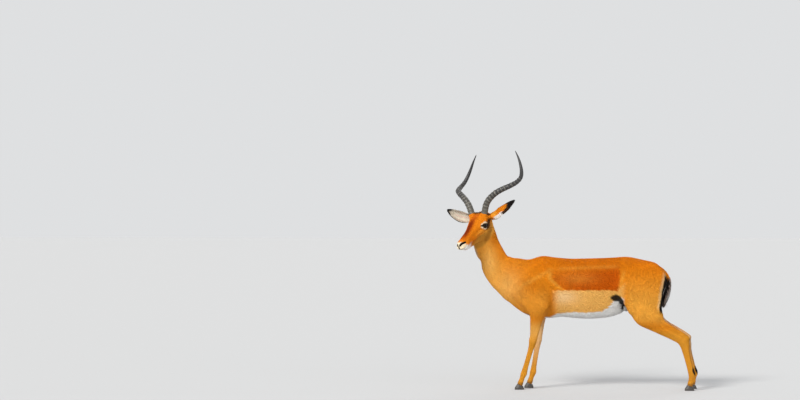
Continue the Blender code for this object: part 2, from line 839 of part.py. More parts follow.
def trim_at_coronet(piece, foot):
    """Takes off the end of the leg where the hoof's two claws go."""
    down = Vector((-CORONET_SLOPE, 0, -1)).normalized()
    start = Vector((foot[0], foot[1], CORONET_HEIGHT))
    below = block("below", [(start, -down)], size=4.0)
    boolean(piece, below, "DIFFERENCE")
    bpy.data.objects.remove(below)


def main():
    fresh_scene()
    coat = material("coat_orange", (0.62, 0.29, 0.09))
    dark_coat = material("coat_saddle", (0.45, 0.13, 0.03))
    leg_coat = material("coat_legs", (0.66, 0.36, 0.14))
    pale = material("coat_pale", (0.80, 0.74, 0.66))
    keratin = material("horn_keratin", (0.09, 0.08, 0.07), 0.5)
    hoof_look = material("hoof_keratin", (0.05, 0.045, 0.04), 0.45)
    eye_look = material("eye_brown", (0.03, 0.015, 0.008), 0.1)
    body = flesh()
    for hand in (1, -1):
        shell = ear(hand)
        boolean(body, shell, "UNION")
    horns = [horn(hand, keratin) for hand in (1, -1)]
    for hand, side in ((1, "left"), (-1, "right")):
        eye_at = on_head(EYE_AT[0], EYE_AT[1] * hand, EYE_AT[2])
        ball(f"eye_{side}", eye_at, EYE_RADIUS, part_collection, eye_look)
        socket = ball("socket", eye_at, EYE_RADIUS + CUT_GAP, helper_collection)
        boolean(body, socket, "DIFFERENCE")
        boolean(body, horn_socket(hand), "DIFFERENCE")
    for hand, side in ((1, "left"), (-1, "right")):
        root, tip, hollow = ear_frame(hand)
        axis = (tip - root).normalized()
        sideways = axis.cross(Vector((0, 0, 1))).normalized()
        carve(
            body,
            f"ear_{side}",
            [
                (root + axis * 0.024, -axis),
                ((0, 0, 1.09), (0, 0, -1)),
                (root + sideways * 0.06, sideways),
                (root - sideways * 0.06, -sideways),
            ],
            coat,
        )
    carve(body, "head", [THROAT_CUT], coat)
    carve(body, "neck", [SHOULDER_CUT], coat)
    carve(body, "tail", TAIL_CUTS, pale)
    for hand, side in ((1, "left"), (-1, "right")):
        knee = Vector(FORE_JOINTS[hand][2])
        leg = [
            ((0, 0, FORELEG_TOP), (0, 0, 1)),
            ((-0.145, 0, 0), (1, 0, 0)),
            ((0, -0.034 * hand, 0), (0, hand, 0)),
        ]
        forearm = carve(body, f"forearm_{side}", leg, leg_coat)
        knee_cut = [(knee + Vector((0, 0, 0.018)), (0.1, 0, 1))]
        fore_cannon = carve(forearm, f"fore_cannon_{side}", knee_cut, leg_coat)
        hock = Vector(HIND_JOINTS[hand][2])
        stifle = Vector(HIND_JOINTS[hand][1])
        leg = [
            (THIGH_TOP, (-0.25, 0, 0.97)),
            ((0.315, 0, 0), (-1, 0, 0)),
            ((0, -0.0320 * hand, 0), (0, hand, 0)),
        ]
        thigh = carve(body, f"thigh_{side}", leg, leg_coat)
        shank_way = (hock - stifle).normalized()
        shank_cut = [(stifle + shank_way * 0.075, -shank_way)]
        gaskin = carve(thigh, f"gaskin_{side}", shank_cut, leg_coat)
        hock_cut = [(hock - Vector((0, 0, 0.030)), (-0.25, 0, 1))]
        hind_cannon = carve(gaskin, f"hind_cannon_{side}", hock_cut, leg_coat)
        ends = (("fore", fore_cannon, FORE_JOINTS[hand][4]), ("hind", hind_cannon, HIND_JOINTS[hand][4]))
        for place, cannon, foot in ends:
            trim_at_coronet(cannon, foot)
            for claw, inner in (("inner", 1), ("outer", -1)):
                hoof_claw(f"hoof_{place}_{side}_{claw}", (foot[0], foot[1]), inner * hand, hoof_look)
    body.name = "trunk"
    helper_collection.objects.unlink(body)
    part_collection.objects.link(body)
    body.hide_render = False
    body.display_type = "TEXTURED"
    body.data.materials.clear()
    body.data.materials.append(dark_coat)


if __name__ == "__main__":
    main()
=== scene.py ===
# Impala ram: one skin with its short coat, ridged horns, eyes, hooves, floor, lights and camera.
# Metres, +Z up. The animal faces -X and its left side is towards -Y.
import math

import bpy
import numpy as np
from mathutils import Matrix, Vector


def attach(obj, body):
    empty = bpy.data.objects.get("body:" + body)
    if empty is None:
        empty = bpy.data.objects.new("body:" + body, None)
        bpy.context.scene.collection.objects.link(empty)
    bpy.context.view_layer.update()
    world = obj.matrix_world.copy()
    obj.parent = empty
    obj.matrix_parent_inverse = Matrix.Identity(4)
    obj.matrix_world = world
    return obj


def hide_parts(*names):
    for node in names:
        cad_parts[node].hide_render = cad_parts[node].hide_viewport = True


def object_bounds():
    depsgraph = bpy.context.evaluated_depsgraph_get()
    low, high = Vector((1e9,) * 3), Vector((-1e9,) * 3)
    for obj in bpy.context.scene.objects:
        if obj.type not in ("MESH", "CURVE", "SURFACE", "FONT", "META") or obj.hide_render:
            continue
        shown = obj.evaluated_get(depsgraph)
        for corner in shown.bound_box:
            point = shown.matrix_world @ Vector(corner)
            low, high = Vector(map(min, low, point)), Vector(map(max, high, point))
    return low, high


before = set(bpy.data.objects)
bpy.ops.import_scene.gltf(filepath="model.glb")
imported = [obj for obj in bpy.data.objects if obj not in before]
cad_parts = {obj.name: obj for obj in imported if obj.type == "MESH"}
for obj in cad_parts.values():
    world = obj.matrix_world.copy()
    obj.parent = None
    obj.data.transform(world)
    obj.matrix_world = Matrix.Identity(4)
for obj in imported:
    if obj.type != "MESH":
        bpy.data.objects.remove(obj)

cadBox = [list(corner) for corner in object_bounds()]
scene = bpy.context.scene
dice = np.random.default_rng(11)

# Head axes: degrees turned to the left, below level, and left side up, about a point of the brow
headPlace = {"turn": 52.0, "pitch": 44.0, "roll": 5.0, "origin": (-0.641, -0.088, 1.179)}


def unit(vectors):  # each divided by its own length
    return vectors / np.maximum(np.linalg.norm(vectors, axis=-1, keepdims=True), 1e-9)


def headFrame(place):  # rows are the head's forward, left and up unit vectors
    turn, pitch, roll = (math.radians(place[key]) for key in ("turn", "pitch", "roll"))
    ahead = np.array([-math.cos(turn), -math.sin(turn), 0.0])
    forward = ahead * math.cos(pitch) - np.array([0.0, 0.0, math.sin(pitch)])
    level = np.array([math.sin(turn), -math.cos(turn), 0.0])
    above = np.cross(forward, level)
    left = level * math.cos(roll) + above * math.sin(roll)
    return np.array([forward, left, above * math.cos(roll) - level * math.sin(roll)])


headAxes = headFrame(headPlace)
headOrigin = np.array(headPlace["origin"])


def fromHead(rows):  # head coordinates (forward, left, up) to the frame
    return headOrigin + np.asarray(rows, float) @ headAxes


def toHead(points):  # the frame to head coordinates
    return (points - headOrigin) @ headAxes.T


# Oval tubes: a station is x, y, z, half width, depth above, depth below, heading in degrees
def smoothCurve(rows, steps=5):
    # Catmull-Rom: b + (c-a)t/2 + (2a-5b+4c-d)t^2/2 + (3b-a-3c+d)t^3/2 between each two stations b and c
    rows = np.asarray(rows, float)
    ends = np.vstack([2 * rows[0] - rows[1], rows, 2 * rows[-1] - rows[-2]])
    a, b, c, d = (ends[k : len(ends) - 3 + k, None, :] for k in range(4))
    t = np.linspace(0.0, 1.0, steps, endpoint=False)[None, :, None]
    spans = b + (c - a) * t / 2 + (2 * a - 5 * b + 4 * c - d) * t**2 / 2 + (3 * b - a - 3 * c + d) * t**3 / 2
    return np.vstack([spans.reshape(-1, rows.shape[1]), rows[-1:]])


class Tube:
    # A tapering tube of oval section with rounded ends. lie is +1 where hair runs the way the stations do.
    def __init__(self, stations, blend=0.03, power=2.0, cap=1.0, side=None, lie=1.0, region="trunk"):
        rows = smoothCurve(stations)
        self.centre = rows[:, :3]
        self.size = np.maximum(rows[:, 3:6], 0.0015)
        heading = np.radians(rows[:, 6])
        level = np.stack([np.sin(heading), -np.cos(heading), 0 * heading], axis=1)
        across = level if side is None else np.tile(side, (len(rows), 1))
        self.along = unit(np.gradient(self.centre, axis=0))
        self.up = unit(np.cross(self.along, across))
        self.side = unit(np.cross(self.up, self.along))
        self.blend, self.power, self.cap, self.lie, self.region = blend, power, cap, lie, region
        self.travel = np.concatenate([[0.0], np.cumsum(np.linalg.norm(np.diff(self.centre, axis=0), axis=1))])

    def near(self, points, margin):
        reach = self.size.max() + margin
        low, high = self.centre.min(0) - reach, self.centre.max(0) + reach
        return np.flatnonzero(((points > low) & (points < high)).all(1))

    def locate(self, points):
        # nearest point of the path: place along it, and offsets to the side, up and along
        start, run = self.centre[:-1], np.diff(self.centre, axis=0)
        run2 = np.maximum((run**2).sum(1), 1e-12)
        rel = points[:, None, :] - start[None]
        t = np.clip(np.einsum("nsk,sk->ns", rel, run) / run2, 0.0, 1.0)
        k = ((rel - t[..., None] * run) ** 2).sum(-1).argmin(1)
        pick = np.arange(len(points))
        t = t[pick, k][:, None]
        offset = rel[pick, k] - t * run[k]
        axes = [unit((1 - t) * axis[k] + t * axis[k + 1]) for axis in (self.side, self.up, self.along)]
        s, u, a = ((offset * axis).sum(1) for axis in axes)
        size = (1 - t) * self.size[k] + t * self.size[k + 1]
        travel = (1 - t[:, 0]) * self.travel[k] + t[:, 0] * self.travel[k + 1]
        return s, u, a, size, axes[2], travel

    def distance(self, points):
        # ratio of the oval r = sqrt((|s/w|^p + |u/d|^p)^(2/p) + (a/e)^2), distance about r(r-1)/|grad r^2/2|
        out = np.full(len(points), 1.0)
        near = self.near(points, self.blend + 0.02)
        for part in np.array_split(near, max(1, len(near) // 20000)):
            if not len(part):
                continue
            s, u, a, size, _, _ = self.locate(points[part])
            width, depth = size[:, 0], np.where(u > 0, size[:, 1], size[:, 2])
            end = self.cap * np.minimum(width, depth)
            oval = (np.abs(s / width) ** self.power + np.abs(u / depth) ** self.power) ** (2 / self.power)
            ratio = np.sqrt(oval + (a / end) ** 2) + 1e-9
            slope = np.sqrt((s / width**2) ** 2 + (u / depth**2) ** 2 + (a / end**2) ** 2) + 1e-9
            out[part] = ratio * (ratio - 1.0) / slope
        return out

    def rings(self, sides=20, capRings=3):
        # centre + side w cos(angle) + up d sin(angle), each end drawn in over a quarter circle
        turn = np.linspace(0, 2 * math.pi, sides, endpoint=False)
        last = len(self.centre) - 1
        lean = np.linspace(math.pi / 2 * 0.96, 0, capRings, endpoint=False)
        k = np.concatenate([np.zeros(capRings, int), np.arange(last + 1), np.full(capRings, last)])
        lean = np.concatenate([-lean, np.zeros(last + 1), lean[::-1]])[:, None, None]
        width = self.size[k, 0][:, None]
        depth = np.where(np.sin(turn)[None] > 0, self.size[k, 1][:, None], self.size[k, 2][:, None])
        end = self.cap * self.size[k].min(1)[:, None, None]
        c, s = np.cos(turn), np.sin(turn)
        power = self.power
        roundOff = (np.abs(c) ** power + np.abs(s) ** power) ** (-1 / power)
        around = (width * c * roundOff)[..., None] * self.side[k][:, None]
        around = around + (depth * s * roundOff)[..., None] * self.up[k][:, None]
        return self.centre[k][:, None] + np.cos(lean) * around + np.sin(lean) * end * self.along[k][:, None]


def smoothMin(a, b, width):
    # the smaller, less h^2 width / 4 where they are closer than the width, with h = 1 - |a - b| / width
    h = np.maximum(width - np.abs(a - b), 0.0) / width
    return np.minimum(a, b) - h * h * width / 4


def smoothMax(a, b, width):
    return -smoothMin(-a, -b, width)


# The body's masses
def trunkTube():
    profile = [  # x, back line, belly line, half width
        (-0.420, 0.800, 0.630, 0.048),
        (-0.365, 0.846, 0.570, 0.076),
        (-0.285, 0.873, 0.518, 0.097),
        (-0.190, 0.902, 0.500, 0.107),
        (-0.100, 0.893, 0.490, 0.113),
        (0.000, 0.885, 0.480, 0.118),
        (0.100, 0.886, 0.474, 0.119),
        (0.200, 0.889, 0.484, 0.112),
        (0.290, 0.893, 0.520, 0.100),
        (0.380, 0.898, 0.590, 0.094),
        (0.460, 0.884, 0.625, 0.089),
        (0.540, 0.854, 0.650, 0.080),
        (0.600, 0.826, 0.680, 0.063),
    ]
    rows = []
    for x, back, belly, width in reversed(profile):
        z = 0.700 + 0.045 * (x + 0.42)
        rows.append((x, 0.0, z, width, back - z, z - belly, 0.0))
    return Tube(rows, power=2.15, cap=0.6, lie=-1.0)


def neckTube():
    levels = [  # nape (x, z), throat (x, z), y, half width, heading
        ((-0.215, 0.800), (-0.300, 0.660), 0.000, 0.070, 0),
        ((-0.290, 0.845), (-0.450, 0.655), 0.000, 0.078, 0),
        ((-0.355, 0.858), (-0.550, 0.712), 0.000, 0.072, 2),
        ((-0.415, 0.893), (-0.598, 0.785), -0.002, 0.064, 6),
        ((-0.456, 0.942), (-0.610, 0.870), -0.006, 0.057, 12),
        ((-0.487, 1.005), (-0.636, 0.940), -0.012, 0.052, 22),
        ((-0.507, 1.072), (-0.640, 1.010), -0.018, 0.050, 34),
        ((-0.530, 1.130), (-0.630, 1.075), -0.022, 0.046, 44),
    ]
    rows = []
    for nape, throat, y, width, heading in levels:
        depth = math.dist(nape, throat) / 2
        middle = ((nape[0] + throat[0]) / 2, y, (nape[1] + throat[1]) / 2)
        rows.append((*middle, width, depth, depth, heading))
    return Tube(rows, blend=0.07, lie=-1.0, region="neck")


def mirrored(rows, hand):  # rows for the +1 side, turned over for the -1 one
    return [(x, y * hand, *rest) for x, y, *rest in rows]


def headTube(stations, blend=0.02, **options):
    rows = [(*fromHead(row[:3]), *row[3:], 0.0) for row in stations]
    return Tube(rows, blend=blend, side=headAxes[1], region="head", **options)


def headTubes():
    skull = headTube(
        [
            (-0.050, 0, -0.064, 0.046, 0.036, 0.044),
            (0.000, 0, -0.050, 0.058, 0.050, 0.058),
            (0.045, 0, -0.050, 0.060, 0.052, 0.060),
            (0.085, 0, -0.050, 0.051, 0.047, 0.054),
            (0.125, 0, -0.050, 0.041, 0.041, 0.047),
            (0.165, 0, -0.048, 0.035, 0.038, 0.038),
            (0.205, 0, -0.046, 0.034, 0.039, 0.032),
            (0.248, 0, -0.045, 0.034, 0.037, 0.026),
        ],
        blend=0.05,
        power=2.3,
        lie=-1.0,
    )
    jaw = headTube(
        [
            (0.000, 0, -0.104, 0.038, 0.044, 0.046),
            (0.060, 0, -0.108, 0.036, 0.046, 0.046),
            (0.120, 0, -0.098, 0.029, 0.038, 0.040),
            (0.180, 0, -0.084, 0.024, 0.026, 0.031),
            (0.236, 0, -0.075, 0.023, 0.016, 0.019),
        ],
        blend=0.018,
        lie=-1.0,
    )
    throat = Tube(
        [
            (-0.590, -0.030, 1.060, 0.042, 0.050, 0.050, 45.0),
            (-0.612, -0.030, 0.990, 0.040, 0.048, 0.050, 30.0),
            (-0.600, -0.012, 0.920, 0.036, 0.040, 0.042, 15.0),
        ],
        blend=0.05,
        region="neck",
    )
    lips = headTube(
        [(0.225, 0, -0.053, 0.035, 0.028, 0.018), (0.256, 0, -0.050, 0.032, 0.030, 0.018)],
        blend=0.015,
        power=2.4,
        lie=-1.0,
    )
    cheek = [(0.000, 0.034, -0.080, 0.018, 0.038, 0.036), (0.075, 0.029, -0.086, 0.016, 0.026, 0.026)]
    orbit = [(0.014, 0.053, -0.060, 0.018, 0.025, 0.024), (0.066, 0.048, -0.058, 0.018, 0.022, 0.022)]
    pedicle = [(0.010, 0.043, -0.042, 0.028, 0.028, 0.028), (-0.018, 0.057, -0.010, 0.025, 0.026, 0.026)]
    earRoot = [(-0.020, 0.038, -0.054, 0.024, 0.026, 0.026), (-0.032, 0.070, -0.050, 0.021, 0.023, 0.023)]
    tubes = [skull, throat, jaw, lips]
    for hand in (1, -1):
        tubes += [
            headTube(mirrored(cheek, hand), lie=-1.0),
            headTube(mirrored(orbit, hand), lie=-1.0),
            headTube(mirrored(pedicle, hand), cap=0.3),
            headTube(mirrored(earRoot, hand)),
        ]
    return tubes


foreJoints = {  # shoulder, elbow, knee, fetlock and coronet of the left leg, 1, and the right one, -1
    1: [
        (-0.360, -0.080, 0.668),
        (-0.205, -0.086, 0.560),
        (-0.258, -0.076, 0.328),
        (-0.322, -0.070, 0.106),
        (-0.346, -0.070, 0.034),
    ],
    -1: [
        (-0.360, 0.080, 0.668),
        (-0.198, 0.086, 0.560),
        (-0.226, 0.076, 0.328),
        (-0.262, 0.070, 0.106),
        (-0.284, 0.070, 0.034),
    ],
}
hindJoints = {  # hip, stifle, hock, fetlock and coronet
    1: [
        (0.470, -0.070, 0.760),
        (0.448, -0.092, 0.520),
        (0.752, -0.082, 0.332),
        (0.805, -0.076, 0.106),
        (0.795, -0.076, 0.034),
    ],
    -1: [
        (0.470, 0.070, 0.760),
        (0.456, 0.092, 0.520),
        (0.770, 0.082, 0.332),
        (0.830, 0.076, 0.106),
        (0.820, 0.076, 0.034),
    ],
}


def alongBones(joints, stations):  # station: bone, share of it, shift in x, half width, front, back
    rows = []
    for bone, share, shift, width, front, back in stations:
        a, b = np.array(joints[bone]), np.array(joints[bone + 1])
        x, y, z = a + (b - a) * share
        rows.append((x + shift, y, z, width, front, back, 0.0))
    return rows


def foreLegTubes(hand):
    joints, side = foreJoints[hand], -hand
    shaft = [
        (1, 0.00, -0.005, 0.034, 0.052, 0.045),
        (1, 0.22, -0.006, 0.031, 0.054, 0.042),
        (1, 0.45, -0.004, 0.027, 0.047, 0.036),
        (1, 0.68, -0.002, 0.022, 0.036, 0.030),
        (1, 0.86, 0.000, 0.020, 0.029, 0.026),
        (1, 1.00, 0.000, 0.0215, 0.029, 0.026),
        (2, 0.12, 0.000, 0.019, 0.022, 0.023),
        (2, 0.30, 0.000, 0.0150, 0.0175, 0.0195),
        (2, 0.60, 0.000, 0.0140, 0.0165, 0.0185),
        (2, 0.84, 0.000, 0.0150, 0.0175, 0.0195),
        (2, 1.00, 0.000, 0.0185, 0.0205, 0.0235),
        (3, 0.40, 0.000, 0.0170, 0.0175, 0.0190),
        (3, 0.90, 0.000, 0.0210, 0.0210, 0.0200),
    ]
    upperArm = [
        (0, 0.02, 0, 0.030, 0.046, 0.046),
        (0, 0.50, 0, 0.036, 0.060, 0.056),
        (0, 1.00, 0, 0.034, 0.050, 0.048),
    ]
    blade = [
        (-0.195, 0.050, 0.835, 0.026, 0.040, 0.052, 0.0),
        (-0.270, 0.078, 0.760, 0.030, 0.050, 0.058, 0.0),
        (-0.335, 0.086, 0.690, 0.030, 0.050, 0.052, 0.0),
    ]
    triceps = [
        (-0.175, 0.086, 0.740, 0.026, 0.060, 0.040, 0.0),
        (-0.170, 0.092, 0.650, 0.030, 0.060, 0.042, 0.0),
        (-0.165, 0.090, 0.580, 0.024, 0.045, 0.030, 0.0),
    ]
    return [
        Tube(mirrored(blade, side), blend=0.05),
        Tube(alongBones(joints, upperArm), blend=0.05),
        Tube(mirrored(triceps, side), blend=0.05),
        Tube(alongBones(joints, shaft), blend=0.05, region="foreLegs"),
    ]


def hindLegTubes(hand):
    joints, side = hindJoints[hand], -hand
    thigh = [
        (0.480, 0.052, 0.800, 0.050, 0.120, 0.110, 0.0),
        (0.500, 0.066, 0.720, 0.052, 0.150, 0.125, 0.0),
        (0.505, 0.074, 0.640, 0.050, 0.140, 0.110, 0.0),
        (0.515, 0.078, 0.560, 0.045, 0.115, 0.096, 0.0),
        (0.535, 0.080, 0.495, 0.040, 0.095, 0.080, 0.0),
    ]
    shank = [
        (1, 0.04, 0, 0.036, 0.052, 0.060),
        (1, 0.25, 0, 0.035, 0.060, 0.062),
        (1, 0.50, 0, 0.029, 0.050, 0.052),
        (1, 0.75, 0, 0.023, 0.038, 0.044),
        (1, 0.94, 0, 0.021, 0.034, 0.040),
        (2, 0.10, 0, 0.021, 0.033, 0.036),
        (2, 0.30, 0, 0.0170, 0.0265, 0.0250),
        (2, 0.60, 0, 0.0150, 0.0220, 0.0215),
        (2, 0.84, 0, 0.0155, 0.0210, 0.0215),
        (2, 1.00, 0, 0.0185, 0.0215, 0.0245),
        (3, 0.40, 0, 0.0170, 0.0180, 0.0195),
        (3, 0.90, 0, 0.0210, 0.0210, 0.0200),
    ]
    x, y, z = joints[2]
    heel = [
        (x - 0.085, y, z + 0.088, 0.010, 0.012, 0.010, 0.0),
        (x - 0.020, y, z + 0.050, 0.012, 0.014, 0.013, 0.0),
        (x + 0.024, y, z + 0.020, 0.015, 0.017, 0.015, 0.0),
    ]
    flank = [
        (0.326, 0.086, 0.700, 0.016, 0.030, 0.030, 0.0),
        (0.374, 0.090, 0.630, 0.018, 0.034, 0.030, 0.0),
        (0.414, 0.088, 0.545, 0.020, 0.034, 0.030, 0.0),
    ]
    return [
        Tube(mirrored(thigh, side), blend=0.06, region="rump"),
        Tube(alongBones(joints, shank), blend=0.05, region="hindLegs"),
        Tube(mirrored(flank, side), blend=0.05, region="rump"),
        Tube(heel, blend=0.025, region="hindLegs"),
    ]


def lowerTubes():
    brisket = [
        (-0.470, 0, 0.720, 0.045, 0.050, 0.060, 0.0),
        (-0.400, 0, 0.650, 0.054, 0.060, 0.058, 0.0),
        (-0.320, 0, 0.594, 0.062, 0.070, 0.060, 0.0),
        (-0.250, 0, 0.560, 0.070, 0.070, 0.055, 0.0),
        (-0.150, 0, 0.556, 0.070, 0.070, 0.055, 0.0),
    ]
    sheath = [
        (0.180, 0, 0.530, 0.034, 0.034, 0.040, 0.0),
        (0.255, 0, 0.530, 0.036, 0.040, 0.040, 0.0),
        (0.318, 0, 0.548, 0.032, 0.040, 0.038, 0.0),
    ]
    scrotum = [(0.385, 0, 0.610, 0.022, 0.022, 0.022, 0.0), (0.368, 0, 0.552, 0.026, 0.024, 0.024, 0.0)]
    return [Tube(brisket, blend=0.05), Tube(sheath, blend=0.03), Tube(scrotum, blend=0.02)]


def tailTube():  # the fleshy core only: its long hair makes the rest
    core = [
        (0.590, 0, 0.806, 0.020, 0.018, 0.020, 0.0),
        (0.631, 0, 0.785, 0.018, 0.015, 0.016, 0.0),
        (0.647, 0, 0.742, 0.018, 0.022, 0.015, 0.0),
        (0.650, 0, 0.692, 0.018, 0.026, 0.015, 0.0),
        (0.643, 0, 0.640, 0.017, 0.028, 0.014, 0.0),
        (0.628, 0, 0.592, 0.011, 0.020, 0.011, 0.0),
    ]
    return Tube(core, blend=0.012, region="tail")


tubes = [trunkTube(), neckTube(), *lowerTubes()]
tubes += [tube for hand in (1, -1) for tube in foreLegTubes(hand) + hindLegTubes(hand)]
tubes += [tailTube(), *headTubes()]


# Eyes: place, gaze and the opening of the lids
eyeSize = {
    "radius": 0.0192,
    "place": (0.042, 0.0560, -0.062),  # in head coordinates, for the left eye
    "gaze": (0.22, 0.96, 0.10),
    "tilt": 34.0,  # degrees that the opening rises from the nose line towards the ear
    "length": 0.0178,
    "front": 0.0215,  # the inner corner reaches further forward
    "upper": 0.0126,
    "lower": 0.0102,
    "lid": 0.0017,
}


def eyeFrame(hand):
    centre = fromHead(np.array(eyeSize["place"]) * (1, hand, 1))
    gaze = np.array(eyeSize["gaze"]) * (1, hand, 1) @ headAxes
    tilt = math.radians(eyeSize["tilt"])
    gaze = unit(gaze)
    long = np.array([math.cos(tilt), 0.0, math.sin(tilt)]) @ headAxes  # towards the nose
    long = unit(long - gaze * (long @ gaze))
    upward = unit(np.cross(long, gaze)) * -hand
    return centre, long, upward, gaze


eyes = {hand: eyeFrame(hand) for hand in (1, -1)}


def eyeOpening(points, hand):
    # distance to an almond |b| = h (1 - (a/A)^2)^0.9 in the plane across the gaze, then the offset from
    # the eye's middle and its parts towards the nose, up and out
    centre, long, upward, gaze = eyes[hand]
    rel = points - centre
    a, b, c = rel @ long, rel @ upward, rel @ gaze
    reach = np.where(a > 0, eyeSize["front"], eyeSize["length"])
    height = np.where(b > 0, eyeSize["upper"], eyeSize["lower"])
    share = np.clip(1 - (a / reach) ** 2, 0, 1)
    edge = height * share**0.9
    beyond = np.maximum(np.abs(a) - reach, 0.0)
    return np.hypot(np.maximum(np.abs(b) - edge, 0), beyond) + np.minimum(np.abs(b) - edge, 0), rel, a, b, c


# Grooves (depth above 0) and ridges (below 0) pressed along short paths: depth exp(-(distance/width)^2)
def pressed(path, width, depth):
    return {"path": np.asarray(path, float), "width": width, "depth": depth}


def headPresses(hand):
    faces = {  # path in head coordinates, width, depth
        "nostril": (
            [(0.270, 0.010, -0.024), (0.258, 0.021, -0.020), (0.246, 0.028, -0.023), (0.232, 0.033, -0.030)],
            0.0046, 0.0090,
        ),
        "nostrilRim": (
            [(0.264, 0.014, -0.012), (0.248, 0.022, -0.011), (0.230, 0.029, -0.016)], 0.0065, -0.0024,
        ),
        "mouth": (
            [(0.276, 0.003, -0.066), (0.262, 0.020, -0.068), (0.240, 0.033, -0.068), (0.216, 0.036, -0.070),
             (0.196, 0.035, -0.075), (0.184, 0.034, -0.079)],
            0.0022, 0.0028,
        ),
        "lip": ([(0.262, 0.018, -0.056), (0.235, 0.035, -0.056), (0.205, 0.037, -0.058)], 0.0080, -0.0014),
        "nose": ([(0.190, 0.040, -0.050), (0.150, 0.044, -0.052), (0.110, 0.048, -0.056)], 0.0140, 0.0026),
        "cheekBone": (
            [(0.125, 0.046, -0.076), (0.085, 0.052, -0.082), (0.050, 0.062, -0.090), (0.015, 0.066, -0.094)],
            0.0085, -0.0024,
        ),
        "cheek": ([(0.120, 0.046, -0.100), (0.080, 0.052, -0.112), (0.040, 0.056, -0.122)], 0.0110, 0.0020),
        "tearGroove": ([(0.088, 0.052, -0.058), (0.074, 0.060, -0.064)], 0.0075, 0.0040),
        "brow": ([(0.078, 0.054, -0.036), (0.052, 0.066, -0.034), (0.022, 0.071, -0.038)], 0.0065, -0.0024),
        "lidTop": ([(0.070, 0.060, -0.046), (0.048, 0.071, -0.043), (0.020, 0.074, -0.050)], 0.0028, 0.0016),
        "lidLow": ([(0.066, 0.062, -0.080), (0.042, 0.070, -0.086), (0.016, 0.070, -0.084)], 0.0030, 0.0014),
        "temple": ([(-0.004, 0.066, -0.060), (-0.012, 0.064, -0.050)], 0.0100, 0.0030),
        "front": ([(0.010, 0.020, -0.002), (0.060, 0.014, -0.002), (0.120, 0.010, -0.008)], 0.0100, -0.0010),
    }
    return {name: pressed(fromHead(mirrored(path, hand)), *sizes) for name, (path, *sizes) in faces.items()}


def bodyPresses(hand):
    folds = [  # path for the +Y side, width, depth, from the shoulder back to the rump
        ([(-0.225, 0.080, 0.860), (-0.165, 0.110, 0.760), (-0.118, 0.122, 0.660), (-0.120, 0.118, 0.560)],
         0.026, 0.0050),
        ([(-0.390, 0.072, 0.790), (-0.330, 0.092, 0.740), (-0.290, 0.106, 0.660), (-0.240, 0.112, 0.620)],
         0.020, 0.0030),
        ([(-0.215, 0.060, 0.860), (-0.270, 0.086, 0.780), (-0.330, 0.104, 0.700)], 0.012, -0.0022),
        ([(-0.130, 0.110, 0.540), (-0.160, 0.108, 0.500)], 0.014, 0.0040),
        ([(0.250, 0.100, 0.815), (0.285, 0.102, 0.785)], 0.040, 0.0065),
        ([(0.352, 0.078, 0.868), (0.372, 0.088, 0.846)], 0.024, -0.0060),
        ([(0.345, 0.108, 0.720), (0.372, 0.118, 0.620), (0.400, 0.124, 0.540)], 0.016, 0.0030),
        ([(0.560, 0.100, 0.800), (0.575, 0.118, 0.700), (0.575, 0.118, 0.600), (0.570, 0.112, 0.520)],
         0.014, 0.0036),
        ([(0.430, 0.110, 0.780), (0.440, 0.128, 0.680), (0.445, 0.130, 0.590)], 0.018, 0.0018),
        ([(0.600, 0.070, 0.815), (0.622, 0.078, 0.785)], 0.018, -0.0040),
    ]
    ribs = [
        ([(x, 0.100, 0.820), (x + 0.03, 0.126, 0.720), (x + 0.025, 0.122, 0.600)], 0.009, -0.0011)
        for x in (-0.050, -0.010, 0.030, 0.070, 0.110, 0.150)
    ]
    neck = [
        ([(-0.590, 0.046, 0.990), (-0.575, 0.062, 0.900), (-0.540, 0.070, 0.800), (-0.470, 0.074, 0.700)],
         0.016, 0.0040),
        ([(-0.530, 0.050, 1.040), (-0.490, 0.062, 0.960), (-0.440, 0.072, 0.880)], 0.020, 0.0020),
    ]
    return [pressed(mirrored(path, -hand), width, depth) for path, width, depth in folds + ribs + neck]


def legPresses(hand):
    elbow, knee, fetlock, coronet = (np.array(joint) for joint in foreJoints[hand][1:])
    hock, hindFetlock, hindCoronet = (np.array(joint) for joint in hindJoints[hand][2:])
    presses = []

    def add(place, shifts, width, depth):  # a path of shifts from a joint
        presses.append(pressed([place + shift for shift in shifts], width, depth))

    for wide in (1, -1):
        out = np.array([0.0, 0.019 * wide, 0.0])
        for top, low in ((knee, fetlock), (hock, hindFetlock)):  # between the cannon bone and its tendons
            run = [top + (low - top) * share + out + (0.007, 0, 0) for share in (0.22, 0.5, 0.86)]
            presses.append(pressed(run, 0.0050, 0.0026))
            add(low, [(0.012, 0.014 * wide, 0.002), (0.014, 0.012 * wide, -0.008)], 0.0080, -0.0022)
        add(knee, [(-0.012, 0.020 * wide, 0.012), (0.004, 0.022 * wide, -0.012)], 0.010, -0.0020)
        muscle = [elbow + (knee - elbow) * share + (0.006, 0.030 * wide, 0.0) for share in (0.25, 0.5, 0.8)]
        presses.append(pressed(muscle, 0.0075, 0.0026))
        cord = [(-0.115, 0.026 * wide, 0.083), (-0.060, 0.022 * wide, 0.052), (-0.012, 0.020 * wide, 0.022)]
        add(hock, cord, 0.0085, 0.0060)
        add(hock, [(-0.014, 0.020 * wide, -0.006), (0.000, 0.022 * wide, -0.020)], 0.010, -0.0018)
    for top, low in ((fetlock, coronet), (hindFetlock, hindCoronet)):  # cleft above the two claws
        rear = [top + (-0.020, 0, -0.020), low + (-0.026, 0, 0.004), low + (-0.026, 0, -0.012)]
        presses.append(pressed(rear, 0.0038, 0.0042))
        presses.append(pressed([top + (0.026, 0, -0.018), low + (0.022, 0, 0.004)], 0.0050, 0.0042))
    return presses


presses = []  # filled in below, once their paths lie on the surface


